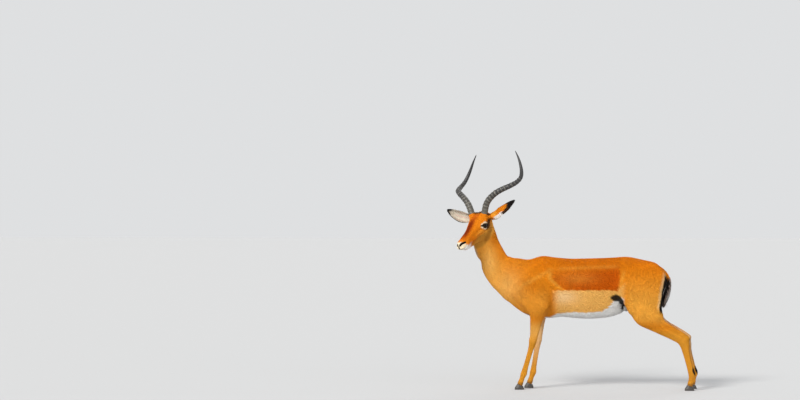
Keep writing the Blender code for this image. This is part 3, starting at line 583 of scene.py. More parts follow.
def pathOffset(points, path):  # vector from the nearest place of the path
    start, run = path[:-1], np.diff(path, axis=0)
    rel = points[:, None, :] - start[None]
    t = np.clip(np.einsum("nsk,sk->ns", rel, run) / np.maximum((run**2).sum(1), 1e-12), 0, 1)
    rel = rel - t[..., None] * run
    return rel[np.arange(len(points)), (rel**2).sum(-1).argmin(1)]


def pathDistance(points, path):
    return np.linalg.norm(pathOffset(points, path), axis=1)


def pathBeside(points, normals, path, reach=0.020):
    # distance from the path seen along the skin's normal, made large where the path is out of reach
    offset = pathOffset(points, path)
    beside = offset - normals * (offset * normals).sum(1, keepdims=True)
    beyond = np.maximum(np.linalg.norm(offset, axis=1) - reach, 0)
    return np.linalg.norm(beside, axis=1) + 10 * beyond


def addPresses(points, field):  # depth exp(-(distance/width)^2), where a path is near enough to show
    for press in presses:
        margin = press["width"] * 2.4
        low, high = press["path"].min(0) - margin, press["path"].max(0) + margin
        near = np.flatnonzero(((points > low) & (points < high)).all(1))
        if len(near):
            share = pathDistance(points[near], press["path"]) / press["width"]
            field[near] += press["depth"] * np.exp(-(share**2))
    return field


def addEyes(points, field):
    # the lids are a shell over the ball, merged with the face, with the almond taken out of it
    for hand in (1, -1):
        near = np.flatnonzero(np.linalg.norm(points - eyes[hand][0], axis=1) < 0.045)
        if not len(near):
            continue
        gap, rel, _, _, c = eyeOpening(points[near], hand)
        away = np.linalg.norm(rel, axis=1)
        lids = away - eyeSize["radius"] - eyeSize["lid"] + faceDepth
        face = smoothMin(field[near], lids, 0.012)
        hole = np.maximum(np.maximum(gap, eyeSize["radius"] - 0.0035 - away), -c)
        field[near] = smoothMax(face, -hole - faceDepth, 0.0012)
    return field


# Coat depth: how far the skin lies below the tips of the hair
faceDepth = 0.0015
coatDepths = {"body": 0.0036, "face": faceDepth, "legs": 0.0016, "belly": 0.0044}


def ramp(value, low, high):  # 3t^2 - 2t^3 from low to high
    t = np.clip((value - low) / (high - low), 0, 1)
    return t * t * (3 - 2 * t)


def coatDepth(points):  # the body's depth, blended by ramps into the belly's, the legs' and the face's
    forward, left, up = toHead(points).T
    radius = np.sqrt(left**2 + (up + 0.06) ** 2)
    face = ramp(forward, -0.07, 0.01) * (1 - ramp(radius, 0.10, 0.14)) * (points[:, 2] > 0.88)
    x, z = points[:, 0], points[:, 2]
    top = np.where(x < 0.0, 0.50, 0.44)
    leg = 1 - ramp(z, top - 0.14, top)
    belly = (1 - ramp(z, 0.53, 0.60)) * ramp(x, -0.12, -0.05) * (1 - ramp(x, 0.28, 0.33))
    belly = belly * ramp(z, 0.44, 0.46)
    depth = coatDepths["body"] + (coatDepths["belly"] - coatDepths["body"]) * belly
    depth = depth + (coatDepths["legs"] - depth) * leg * (1 - belly)
    return depth + (coatDepths["face"] - depth) * face


def massField(points):  # distance to the smoothly joined tubes
    field = tubes[0].distance(points)
    for tube in tubes[1:]:
        field = smoothMin(field, tube.distance(points), tube.blend)
    return field


def outerField(points):  # distance to the tips of the coat, before eyes are let in
    return addPresses(points, massField(points))


def skinField(points):  # distance to the skin under the coat, with the eyes let in
    return addEyes(points, outerField(points)) + coatDepth(points)


def settle(points, rounds=3, step=0.0006, field=skinField):
    # Newton steps along the field's gradient, read at the four corners of a tetrahedron
    probes = np.array([[1, 1, 1], [1, -1, -1], [-1, 1, -1], [-1, -1, 1]], float)
    for _ in range(rounds):
        values = np.stack([field(points + step * probe) for probe in probes])
        slope = np.einsum("kn,kd->nd", values, probes) / (4 * step)
        move = -(values.mean(0) / np.maximum((slope**2).sum(1), 0.25))[:, None] * slope
        length = np.linalg.norm(move, axis=1, keepdims=True)
        points = points + move * np.minimum(1.0, 0.008 / np.maximum(length, 1e-9))
    return points


def onSurface(press):  # its path in short steps, each moved to the surface
    path = press["path"]
    travel = np.concatenate([[0.0], np.cumsum(np.linalg.norm(np.diff(path, axis=0), axis=1))])
    at = np.linspace(0.0, travel[-1], max(2, math.ceil(travel[-1] / 0.008)))
    rows = np.stack([np.interp(at, travel, path[:, axis]) for axis in range(3)], axis=1)
    return {**press, "path": settle(rows, 5, field=massField)}


facePresses = {
    hand: {name: onSurface(press) for name, press in headPresses(hand).items()} for hand in (1, -1)
}
for hand in (1, -1):
    presses += facePresses[hand].values()
    presses += [onSurface(press) for press in bodyPresses(hand) + legPresses(hand)]
presses.append(onSurface(pressed(fromHead([(0.286, 0, -0.040), (0.284, 0, -0.066)]), 0.0026, 0.0026)))


# Meshes from arrays
def newMesh(name, points, faces):
    faces = np.asarray(faces, np.int32)
    mesh = bpy.data.meshes.new(name)
    mesh.vertices.add(len(points))
    mesh.vertices.foreach_set("co", np.asarray(points, np.float32).ravel())
    mesh.loops.add(faces.size)
    mesh.loops.foreach_set("vertex_index", faces.ravel())
    mesh.polygons.add(len(faces))
    mesh.polygons.foreach_set("loop_start", np.arange(len(faces), dtype=np.int32) * faces.shape[1])
    mesh.update(calc_edges=True)
    return mesh


def newPiece(name, points, faces, smooth=True):
    mesh = newMesh(name, points, faces)
    mesh.polygons.foreach_set("use_smooth", np.full(len(mesh.polygons), smooth))
    piece = bpy.data.objects.new(name, mesh)
    scene.collection.objects.link(piece)
    return piece


def meshArrays(mesh):  # points and triangles
    mesh.calc_loop_triangles()
    points = np.empty(len(mesh.vertices) * 3, np.float32)
    mesh.vertices.foreach_get("co", points)
    faces = np.empty(len(mesh.loop_triangles) * 3, np.int32)
    mesh.loop_triangles.foreach_get("vertices", faces)
    return points.reshape(-1, 3).astype(float), faces.reshape(-1, 3)


def withModifier(piece, kind, **settings):  # the piece's mesh after one modifier
    modifier = piece.modifiers.new(kind, kind)
    for key, value in settings.items():
        setattr(modifier, key, value)
    mesh = bpy.data.meshes.new_from_object(piece.evaluated_get(bpy.context.evaluated_depsgraph_get()))
    piece.modifiers.clear()
    return mesh


def facesNormal(points, faces):  # area weighted
    a, b, c = (points[faces[:, k]] for k in range(3))
    return np.cross(b - a, c - a)


def pointNormals(points, faces):  # sum of the normals of the faces round each point, made a unit
    whole = facesNormal(points, faces)
    total = np.zeros_like(points)
    for k in range(3):
        for axis in range(3):
            total[:, axis] += np.bincount(faces[:, k], whole[:, axis], len(points))
    return unit(total)


def neighbourMean(points, faces):  # mean of the points at the other ends of each point's edges
    pairs = np.vstack([faces[:, [0, 1]], faces[:, [1, 2]], faces[:, [2, 0]]])
    pairs = np.vstack([pairs, pairs[:, ::-1]])
    count = np.maximum(np.bincount(pairs[:, 0], minlength=len(points)), 1)
    sums = [np.bincount(pairs[:, 0], points[pairs[:, 1], axis], len(points)) for axis in range(3)]
    return np.stack(sums, axis=1) / count[:, None]


def relaxed(points, faces, rounds, near, share=0.5):  # moves points towards their neighbours' mean
    for _ in range(rounds):
        moved = points + share * (neighbourMean(points, faces) - points)
        points = np.where(near[:, None], moved, points)
    return points


def refined(points, faces, near):
    # every edge with both ends near is halved: a face with three such edges becomes four, with one, two
    edges = np.sort(np.vstack([faces[:, [0, 1]], faces[:, [1, 2]], faces[:, [2, 0]]]), axis=1)
    unique, index = np.unique(edges, axis=0, return_inverse=True)
    halved = near[unique].all(1)
    number = np.full(len(unique), -1)
    number[halved] = len(points) + np.arange(halved.sum())
    points = np.vstack([points, points[unique[halved]].mean(1)])
    middle = number[index.reshape(-1)].reshape(3, -1).T
    count = (middle >= 0).sum(1)
    kept = faces[count == 0]
    (a, b, c), (ab, bc, ca) = faces[count == 3].T, middle[count == 3].T
    four = [np.stack(corners, 1) for corners in ((a, ab, ca), (ab, b, bc), (ca, bc, c), (ab, bc, ca))]
    turn = (middle[count == 1] >= 0).argmax(1)
    one, rows = faces[count == 1], np.arange((count == 1).sum())
    a, b, c = (one[rows, (turn + k) % 3] for k in range(3))
    ab = middle[count == 1].max(1)
    two = [np.stack(corners, 1) for corners in ((a, ab, c), (ab, b, c))]
    return points, np.vstack([kept, *four, *two])


def gridFaces(rows, columns, closed=False):  # quads of a grid of points, joined round when closed
    i, j = np.meshgrid(np.arange(rows - 1), np.arange(columns if closed else columns - 1), indexing="ij")
    k = (j + 1) % columns
    quads = np.stack([i * columns + j, i * columns + k, (i + 1) * columns + k, (i + 1) * columns + j], -1)
    return quads.reshape(-1, 4)


def asTriangles(quads):
    return np.vstack([quads[:, [0, 1, 2]], quads[:, [0, 2, 3]]])


# The skin: a rough mesh of all tubes, moved to the surface and made finer on the face and legs
skinDetail = {
    "voxel": 0.0092,
    "headLow": 0.88,  # height under which nothing belongs to the head
    "legTop": 0.42,
    "legInside": 0.03,
    "fineStep": 0.0003,  # reach of the slope's four readings on the face
}


def closedRings(rings, ends=None):
    # points and triangles of a grid of rings, each end closed by a fan round a middle point
    rows, columns = rings.shape[:2]
    near, far = (rings[0].mean(0), rings[-1].mean(0)) if ends is None else ends
    points = np.vstack([rings.reshape(-1, 3), near[None], far[None]])
    around = np.arange(columns)
    after = (around + 1) % columns
    last = (rows - 1) * columns
    fans = [
        np.stack([after, around, np.full(columns, rows * columns)], 1),
        np.stack([last + around, last + after, np.full(columns, rows * columns + 1)], 1),
    ]
    return points, np.vstack([asTriangles(gridFaces(rows, columns, closed=True)), *fans])


def outward(points, faces, middle):  # turns the faces round if they enclose a negative volume
    a, b, c = (points[faces[:, k]] - middle for k in range(3))
    return faces if np.einsum("ij,ij->i", a, np.cross(b, c)).sum() > 0 else faces[:, ::-1]


def roughSkin(voxel):  # the tubes' own surfaces, merged by a voxel remesh
    points, faces, count = [], [], 0
    for tube in tubes:
        own, sides = closedRings(tube.rings())
        points.append(own)
        faces.append(sides + count)
        count += len(own)
    rough = newPiece("roughSkin", np.vstack(points), np.vstack(faces))
    mesh = withModifier(rough, "REMESH", mode="VOXEL", voxel_size=voxel)
    bpy.data.objects.remove(rough)
    return meshArrays(mesh)


def faceShare(points):  # head coordinates, and the distance from the head's own middle line
    forward, left, up = toHead(points).T
    return forward, left, up, np.sqrt(left**2 + (up + 0.06) ** 2)


def onHead(points, back, wide):  # true in front of a place on the head and close to its middle line
    forward, _, _, radius = faceShare(points)
    return (forward > back) & (radius < wide) & (points[:, 2] > skinDetail["headLow"])


def finer(points, faces, near, step):  # more faces near, with the new points moved to the surface
    count = len(points)
    points, faces = refined(points, faces, near)
    points[count:] = settle(points[count:], 2, step)
    return points, faces


def makeSkin():  # points moved to where skinField is 0, again after each time the faces are made finer
    points, faces = roughSkin(skinDetail["voxel"])
    points = settle(points, 3)
    points = settle(relaxed(points, faces, 3, np.ones(len(points), bool)), 2)
    print("skin: rough", len(faces))

    legs = (points[:, 2] < skinDetail["legTop"]) & (np.abs(points[:, 1]) > skinDetail["legInside"])
    points, faces = finer(points, faces, onHead(points, -0.075, 0.13) | legs, 0.0006)
    points, faces = finer(points, faces, onHead(points, -0.030, 0.10), 0.0004)

    byEye = np.zeros(len(points), bool)
    for hand in (1, -1):
        gap, rel, _, _, c = eyeOpening(points, hand)
        byEye |= (gap < 0.009) & (np.linalg.norm(rel, axis=1) < 0.032) & (c > 0)
    forward, _, _, radius = faceShare(points)
    byLips = (forward > 0.222) & (radius < 0.08)
    points, faces = refined(points, faces, byEye | byLips)
    fine = onHead(points, -0.03, 0.10)
    step = skinDetail["fineStep"]
    points[fine] = settle(points[fine], 2, step)
    for _ in range(3):
        points = relaxed(points, faces, 1, fine, 0.45)
        points[fine] = settle(points[fine], 2, step)
    print("skin: fine", len(faces))
    return points, faces


skinPoints, skinFaces = makeSkin()


# Ears: leaf-shaped cups, rolled up at the root
earShape = {"halfWidth": 0.036, "sag": 0.022, "wall": 0.0026, "rim": 0.0011, "rows": 56, "columns": 30}
earLooks = {  # tip, and the way the hollow faces
    1: ((-0.383, -0.105, 1.276), (0.42, 0.70, -0.57)),
    -1: ((-0.840, -0.015, 1.211), (0.10, -1.0, -0.15)),
}


def earFrame(hand):  # root, then unit vectors along, across and out of the hollow, and the length
    root = fromHead((-0.030, 0.060 * hand, -0.050))
    tip, hollow = (np.array(value) for value in earLooks[hand])
    axis = unit(tip - root)
    across = unit(np.cross(axis, hollow))
    return root, axis, across, unit(np.cross(across, axis)), np.linalg.norm(tip - root)


def earRadius(t):
    # half width w = w0 (0.5 + 0.5 sin^1.2) (1 - ((t-0.48)/0.53)^2)^0.75, roll from 150 to 58 degrees
    half = earShape["halfWidth"] * (0.50 + 0.50 * np.sin(np.pi * np.minimum(1.0, t / 0.55) / 2) ** 1.2)
    half = half * (np.maximum(0.0, 1.0 - np.maximum(0.0, (t - 0.48) / 0.53) ** 2.0) ** 0.75 + 0.04)
    roll = np.radians(150 - 92 * np.minimum(1.0, t / 0.45))
    return half / np.sin(np.minimum(roll, np.pi / 2)), roll


def earMesh(hand):
    # middle(t) + across r sin(roll s) + openWay r (0.35 - cos(roll s)), s from -1 to 1, with a wall
    root, axis, across, openWay, length = earFrame(hand)
    t = np.linspace(0.0, 1.0, earShape["rows"])[:, None, None]
    share = np.linspace(-1.0, 1.0, earShape["columns"])[None, :, None]
    radius, roll = earRadius(t)
    middle = root + axis * length * t - np.array([0, 0, earShape["sag"]]) * np.sin(np.pi * t)
    sheet = middle + across * radius * np.sin(roll * share) + openWay * radius * (0.35 - np.cos(roll * share))
    normal = unit(np.cross(np.gradient(sheet, axis=0), np.gradient(sheet, axis=1)))
    middlePlace = earShape["rows"] // 3, earShape["columns"] // 2
    normal = normal * -np.sign((normal[middlePlace] * openWay).sum())  # out of the ear's back
    edge = np.maximum(np.abs(share) ** 6, ramp(t, 0.80, 1.0))
    half = (earShape["wall"] + (earShape["rim"] - earShape["wall"]) * edge) / 2
    folds = 0.0007 * np.cos(share * 9.0) * ramp(t, 0.15, 0.3) * (1 - ramp(t, 0.7, 0.95)) * (1 - edge)
    ring = np.concatenate([sheet + normal * half, (sheet - normal * (half + folds))[:, ::-1]], axis=1)
    points, faces = closedRings(ring)
    return points, outward(points, faces, root)


def onEar(points, hand):
    # inverse of the cup: place along it, share of the roll, and how far outside its wall's middle
    root, axis, across, openWay, length = earFrame(hand)
    rel = points - root
    t = rel @ axis / length
    for _ in range(2):
        lifted = rel + np.array([0, 0, earShape["sag"]]) * np.sin(np.pi * np.clip(t, 0, 1))[:, None]
        t = lifted @ axis / length
    radius, roll = earRadius(np.clip(t, 0, 1))
    s, o = lifted @ across, lifted @ openWay - 0.35 * radius
    share = np.arctan2(s, -o) / roll
    return t, share, np.hypot(s, o) - radius


def onEarWall(t, share, out, reach=1.3):  # true where the inverse of the cup finds the ear's own wall
    return (t < 1.05) & (np.abs(out) < 0.012) & (np.abs(share) < reach)


def joinEars(points, faces):  # both cups merged with the skin
    skin = newPiece("skin", points, faces)
    for hand in (1, -1):
        ear = newPiece("earCup", *earMesh(hand))
        mesh = withModifier(skin, "BOOLEAN", object=ear, operation="UNION", solver="EXACT")
        bpy.data.objects.remove(ear)
        skin.data = mesh
    points, faces = meshArrays(skin.data)
    bpy.data.objects.remove(skin)
    for hand in (1, -1):  # the crease round the ear's root becomes a fillet
        root, axis = earFrame(hand)[:2]
        rel = points - root
        t = rel @ axis
        around = np.linalg.norm(rel - t[:, None] * axis, axis=1)
        near = (t > 0.006) & (t < 0.034) & (around < 0.036)
        points = relaxed(points, faces, 5, near)
    return points, faces


skinPoints, skinFaces = joinEars(skinPoints, skinFaces)
skinNormals = pointNormals(skinPoints, skinFaces)
print("skin with ears", len(skinFaces))


# Horns: a swept round section with raised rings
hornLine = [  # forward, left, up in head coordinates, radius
    (-0.013, 0.055, -0.015, 0.0225),
    (-0.026, 0.062, -0.001, 0.0225),
    (-0.047, 0.073, 0.022, 0.0222),
    (-0.066, 0.087, 0.041, 0.0218),
    (-0.090, 0.114, 0.060, 0.0212),
    (-0.120, 0.157, 0.075, 0.0203),
    (-0.149, 0.200, 0.078, 0.0193),
    (-0.187, 0.241, 0.070, 0.0180),
    (-0.235, 0.262, 0.056, 0.0163),
    (-0.286, 0.265, 0.050, 0.0143),
    (-0.331, 0.254, 0.062, 0.0122),
    (-0.377, 0.234, 0.089, 0.0096),
    (-0.415, 0.212, 0.120, 0.0064),
    (-0.452, 0.183, 0.153, 0.0022),
]
hornShape = {"rings": 18, "ringed": 0.70, "rise": 0.0030, "sections": 420, "sides": 40}


def hornPath(hand):  # points, radii and distance travelled
    rows = smoothCurve(hornLine, 8)
    points = fromHead(rows[:, :3] * (1, hand, 1))
    travel = np.concatenate([[0.0], np.cumsum(np.linalg.norm(np.diff(points, axis=0), axis=1))])
    return points, rows[:, 3], travel


def makeHorn(hand, name):
    # circles r + rise (0.5 + 0.5 cos(2 pi phase))^1.6 across the path, phase growing by 1 from ring to ring
    points, radii, travel = hornPath(hand)
    share = np.linspace(0.0, 1.0, hornShape["sections"])
    at = share * travel[-1]
    centre = np.stack([np.interp(at, travel, points[:, k]) for k in range(3)], axis=1)
    for _ in range(6):
        centre[1:-1] = (centre[:-2] + 2 * centre[1:-1] + centre[2:]) / 4
    radius = np.interp(at, travel, radii)
    radius[-4:] *= (0.9, 0.75, 0.5, 0.15)  # rounds the point off
    way = unit(np.gradient(centre, axis=0))
    side = unit(headAxes[2] - way * (way @ headAxes[2])[:, None])
    other = np.cross(way, side)
    turn = np.linspace(0, 2 * math.pi, hornShape["sides"], endpoint=False)[None]
    phase = share[:, None] / hornShape["ringed"] * hornShape["rings"] + 0.10 * np.cos(turn - 0.6) + 0.3
    fade = 1 - ramp(share, hornShape["ringed"] - 0.10, hornShape["ringed"] + 0.02)[:, None]
    luck = np.sin(np.floor(phase + 0.5) * 2.4 + hand) * 0.5 + 0.5
    wave = (0.5 + 0.5 * np.cos(2 * math.pi * phase)) ** 1.6 * fade * (0.55 + 0.45 * luck)
    front = 0.62 + 0.38 * np.cos(turn - 0.4 * hand)
    strong = 0.55 + 0.45 * ramp(share, 0.0, 0.12)[:, None]
    uneven = 0.0004 * np.sin(3 * turn + 9 * share[:, None]) * fade
    rise = hornShape["rise"] * wave * front * strong
    reach = (radius[:, None] - 0.0013 * fade + rise + uneven)[..., None]
    outline = np.cos(turn)[..., None] * side[:, None] + np.sin(turn)[..., None] * other[:, None]
    vertices, faces = closedRings(centre[:, None] + reach * outline, (centre[0], centre[-1]))
    horn = newPiece(name, np.clip(vertices, *cadBox), faces)
    grain = np.zeros((len(vertices), 3))  # share of the length, height of the ring and angle round the horn
    grain[:-2, 0] = np.repeat(share, hornShape["sides"])
    grain[:-2, 1] = (wave * strong).ravel()
    grain[:-2, 2] = np.tile(turn.ravel(), len(share))
    grain[-1, 0] = 1.0
    addVector(horn, "grain", grain)
    return horn


def addVector(piece, name, values):
    attribute = piece.data.attributes.new(name, "FLOAT_VECTOR", "POINT")
    attribute.data.foreach_set("vector", np.asarray(values, np.float32).ravel())


def addColour(piece, name, values):
    attribute = piece.data.attributes.new(name, "FLOAT_COLOR", "POINT")
    full = np.ones((len(values), 4), np.float32)
    full[:, :3] = values
    attribute.data.foreach_set("color", full.ravel())


# Markings: colours by place on the body, from broad masses to small marks
def fromScreen(red, green, blue):  # screen values 0 to 255 to linear colour
    value = np.array([red, green, blue]) / 255
    return np.where(value < 0.04045, value / 12.92, ((value + 0.055) / 1.055) ** 2.4)


dye = {
    "orange": fromScreen(228, 136, 22),
    "back": fromScreen(218, 120, 8),
    "saddle": fromScreen(202, 90, 2),
    "tan": fromScreen(240, 172, 66),
    "flank": fromScreen(242, 184, 96),
    "leg": fromScreen(222, 152, 46),
    "white": fromScreen(242, 241, 238),
    "cream": fromScreen(245, 228, 196),
    "black": fromScreen(30, 25, 23),
    "brown": fromScreen(104, 66, 40),
    "shade": fromScreen(150, 92, 30),
    "nose": fromScreen(124, 36, 2),
    "forehead": fromScreen(200, 92, 6),
    "grey": fromScreen(122, 112, 102),
    "tailShade": fromScreen(178, 156, 144),
    "pink": fromScreen(206, 176, 164),
    "inside": fromScreen(200, 190, 172),
}


markLines = {  # places and values to read between; z to x, but x to z for the blade and the belly
    "saddleFront": ((0.66, 0.68, 0.72, 0.76, 0.80, 0.84), (-0.040, -0.060, -0.105, -0.140, -0.135, -0.090)),
    "blade": ((-0.37, -0.30, -0.22, -0.14), (0.680, 0.730, 0.772, 0.816)),
    "nape": ((0.86, 0.90, 0.95, 1.00, 1.05, 1.12), (-0.36, -0.42, -0.46, -0.49, -0.51, -0.53)),
    "throat": (
        (0.55, 0.60, 0.65, 0.70, 0.75, 0.80, 0.95, 1.05),
        (-0.33, -0.40, -0.50, -0.565, -0.59, -0.605, -0.60, -0.60),
    ),
    "belly": (
        (-0.16, -0.08, 0.00, 0.10, 0.20, 0.25, 0.28, 0.34),
        (0.495, 0.519, 0.526, 0.523, 0.532, 0.565, 0.605, 0.63),
    ),
    "tailFront": ((0.58, 0.64, 0.69, 0.742, 0.785), (0.6080, 0.6170, 0.6300, 0.6340, 0.6200)),
}
rumpLean = 0.17  # how much further back the rump's edge lies for each metre up


def wobble(points, size):  # a cheap uneven field from -1 to 1: products of sines along turned axes
    p = points / size
    one = np.sin(p[:, 0] * 1.0 + p[:, 1] * 0.6 + 1.3) * np.sin(p[:, 2] * 1.1 - p[:, 0] * 0.4)
    two = np.sin(p[:, 1] * 1.7 + p[:, 2] * 0.7 + 0.5) * np.sin(p[:, 0] * 1.9 + 2.1)
    return 0.6 * one + 0.4 * two


def raggedEdge(points):  # metres by which a marking's edge wanders
    return 0.005 * wobble(points, 0.011) + 0.003 * wobble(points, 0.004)


def painted(colour, dyed, share):  # colour + (dyed - colour) share
    return colour + (dyed - colour) * share[:, None]


def within(value, low, high, soft):  # 1 from low to high, with ramps of twice soft at the ends
    return ramp(value, low - soft, low + soft) * (1 - ramp(value, high - soft, high + soft))


def spot(values, centre, radii):  # exp(-sum of ((value - at) / radius)^2)
    total = sum(((value - at) / radius) ** 2 for value, at, radius in zip(values, centre, radii))
    return np.exp(-total)


def glandSpot(points, hand):  # 1 on the black gland above the hind hoof, fading to 0 round it
    x, y, z = hindJoints[hand][3]
    return spot(points.T, (x + 0.020, y, z + 0.034), (0.020, 0.022, 0.030))


def backColour(points, colour):  # the dark saddle, with painted highlights along its edges and the shoulder blade, a painted sheen on it and painted shade behind the shoulder
    x, _, z = points.T
    ragged = raggedEdge(points)
    colour = painted(colour, dye["back"], 0.85 * ramp(z + ragged, 0.74, 0.87) * ramp(x, -0.36, -0.18))
    front = np.interp(z, *markLines["saddleFront"])
    saddle = ramp(x - front + ragged, -0.010, 0.014) * (1 - ramp(x + ragged, 0.307, 0.325))
    saddle = saddle * ramp(z + ragged, 0.668, 0.682) * (0.72 + 0.28 * ramp(x - front, 0.02, 0.12))
    deep = 1 - 0.75 * ramp(z - 0.10 * x, 0.755, 0.835)
    colour = painted(colour, dye["saddle"], saddle * deep)
    # painted sheen: a lighter tan patch high on the middle of the saddle
    colour = painted(colour, dye["tan"], 0.32 * spot((x, z), (0.03, 0.752), (0.13, 0.040)) * saddle)
    # painted highlights: pale lines along the saddle's rear seam, front edge and top, and along the shoulder
    # blade's front edge
    seam = np.exp(-(((x - 0.330 - 0.25 * (z - 0.74)) / 0.010) ** 2)) * within(z, 0.68, 0.80, 0.02)
    edge = np.exp(-(((x - front + 0.012) / 0.013) ** 2)) * within(z, 0.68, 0.80, 0.02)
    upper = np.exp(-(((z - 0.822 - 0.04 * x) / 0.012) ** 2)) * within(x, -0.10, 0.30, 0.03)
    blade = np.exp(-(((z - np.interp(x, *markLines["blade"]) + ragged) / 0.014) ** 2))
    blade = blade * within(x, -0.37, -0.14, 0.04)
    pale = np.maximum.reduce([0.55 * seam, 0.55 * edge, 0.30 * upper, 0.45 * blade])
    colour = painted(colour, dye["tan"], pale)
    # painted shade: a darker patch behind the shoulder, above the elbow
    return painted(colour, dye["shade"], 0.22 * spot((x, z), (-0.185, 0.640), (0.045, 0.10)))


def sideColour(points, colour):  # flank, breast, neck and thigh
    x, _, z = points.T
    ragged = raggedEdge(points)
    line = 0.675 + 0.06 * ramp(x, 0.30, 0.36)
    flank = (1 - ramp(z + ragged * 0.6, line - 0.006, line + 0.004)) * within(x, -0.115, 0.345, 0.03)
    colour = painted(colour, dye["flank"], flank)
    colour = painted(colour, dye["cream"], 0.35 * flank * spot((x, z), (-0.06, 0.630), (0.09, 0.05)))
    nape, throat = np.interp(z, *markLines["nape"]), np.interp(z, *markLines["throat"])
    depth = (x - throat) / (nape - throat)  # 0 at the throat, 1 at the nape
    neck = 1 - ramp(depth + 2 * ragged, 0.25, 0.80)
    colour = painted(colour, dye["tan"], 0.62 * neck * (1 - ramp(x, -0.40, -0.30)) * ramp(z, 0.5, 0.62))
    colour = painted(colour, dye["tan"], 0.45 * within(z, 0.50, 0.66, 0.05) * within(x, -0.38, -0.16, 0.05))
    lowNeck = spot((x, z), (-0.44, 0.700), (0.10, 0.11)) + spot((x, z), (-0.56, 0.86), (0.05, 0.10))
    colour = painted(colour, dye["flank"], 0.8 * np.clip(lowNeck, 0, 1) * (x < -0.2))
    thigh = (1 - ramp(z, 0.58, 0.82)) * ramp(x, 0.33, 0.40) * ramp(z, 0.42, 0.50)
    colour = painted(colour, dye["tan"], 0.85 * thigh)
    edge = ramp(x + ragged - rumpLean * (z - 0.68), 0.582, 0.603) * within(z, 0.56, 0.79, 0.03)
    return painted(colour, dye["cream"] * (1.0, 0.9, 0.7), 0.6 * edge)


def legColour(points, normals, colour):  # tan, paler inside, painted shade down the back of the hind legs, and brown over the hooves
    x, y, z = points.T
    wide = np.abs(y)
    top = np.where(x < 0.0, 0.50, 0.46)
    leg = 1 - ramp(z, top - 0.10, top)
    colour = painted(colour, dye["leg"], leg)
    colour = painted(colour, dye["flank"], 0.6 * leg * ramp(z, 0.30, 0.40) * (x < 0))
    inner = ramp(-normals[:, 1] * np.sign(y), 0.1, 0.7) * ramp(wide, 0.03, 0.05)
    colour = painted(colour, dye["cream"], 0.35 * inner * (z < 0.50) * ramp(z, 0.12, 0.34))
    # painted shade: brown down the rear of the hind legs round the hock and cannon
    rear = ramp(normals[:, 0], 0.35, 0.85) * within(z, 0.12, 0.43, 0.05)
    colour = painted(colour, dye["brown"], 0.45 * rear * (x > 0.5))
    return painted(colour, dye["brown"], 0.55 * np.exp(-(((z - 0.041) / 0.010) ** 2)))


def lowerColour(points, normals, colour):  # white underneath, and black painted shadow in the fold before the thigh
    x, y, z = points.T
    wide = np.abs(y)
    ragged = raggedEdge(points)
    lower = np.interp(x, *markLines["belly"])
    belly = (1 - ramp(z + ragged * 0.8, lower - 0.004, lower + 0.004)) * within(x, -0.145, 0.345, 0.010)
    belly = belly * (z > 0.44)
    chest = ramp(-normals[:, 2], 0.75, 0.95) * within(x, -0.36, -0.10, 0.04)
    chest = chest * (1 - ramp(wide, 0.025, 0.045)) * (z > 0.46)
    groin = ramp(-normals[:, 1] * np.sign(y), 0.0, 0.5) * within(x, 0.28, 0.62, 0.03)
    groin = groin * within(z, 0.44, 0.70, 0.03)
    low = ramp(0.045 - wide, -0.006, 0.006) * within(x, 0.28, 0.58, 0.02) * (z < 0.66) * (z > 0.46)
    white = np.maximum.reduce([belly, chest, groin, low])
    colour = painted(colour, dye["white"], white)
    scrotum = spot((x, y, z), (0.372, 0, 0.548), (0.026, 0.035, 0.040))
    colour = painted(colour, dye["grey"] * 0.25, 0.90 * scrotum)
    # painted shadow: black in the pocket between the flank's fold, the sheath and the thigh
    foldShadow = np.maximum.reduce([
        spot((x, z), (0.292, 0.624), (0.040, 0.024)),
        spot((x, z), (0.328, 0.600), (0.019, 0.026)),
        spot((x, z), (0.342, 0.552), (0.018, 0.034)),
    ]) * (wide > 0.025)
    return painted(colour, dye["black"], 0.97 * ramp(foldShadow + 12 * ragged, 0.26, 0.52))


def rumpColour(points, normals, colour):  # white between two black stripes, and the glands of the hind feet
    x, y, z = points.T
    wide = np.abs(y)
    ragged = raggedEdge(points)
    behind = x - rumpLean * (z - 0.68)
    height = within(z, 0.53, 0.785, 0.015)
    stripe = ramp(behind + 0.6 * ragged, 0.604, 0.610) * height * ramp(wide, 0.030, 0.034)
    colour = painted(colour, dye["black"], stripe * (1 - ramp(z, 0.77, 0.80)))
    rear = ramp(behind, 0.600, 0.612) * height
    colour = painted(colour, dye["white"], rear * (1 - ramp(wide + ragged * 0.6, 0.036, 0.041)))
    for hand in (1, -1):
        gland = ramp(glandSpot(points, hand), 0.22, 0.45)
        colour = painted(colour, dye["black"], gland * ramp(normals[:, 0], -0.2, 0.2))
    return colour


def bodyColour(points, normals):  # the body's parts over orange, and the throat's pale patch, dimmed as painted shade
    x, _, z = points.T
    colour = np.tile(dye["orange"], (len(points), 1))
    colour = backColour(points, colour)
    colour = sideColour(points, colour)
    colour = legColour(points, normals, colour)
    colour = lowerColour(points, normals, colour)
    colour = rumpColour(points, normals, colour)
    ragged = raggedEdge(points)
    # the throat's white patch, painted greyish cream to stand in for the shade under the jaw
    throat = within(z + ragged, 0.895, 0.985, 0.025) * ramp(-normals[:, 0], 0.45, 0.85) * (x < -0.55)
    return painted(colour, dye["cream"] * 0.55, 0.60 * throat)


def tailFront(z):  # x of the side of the tail that faces the rump
    return np.interp(z, *markLines["tailFront"])


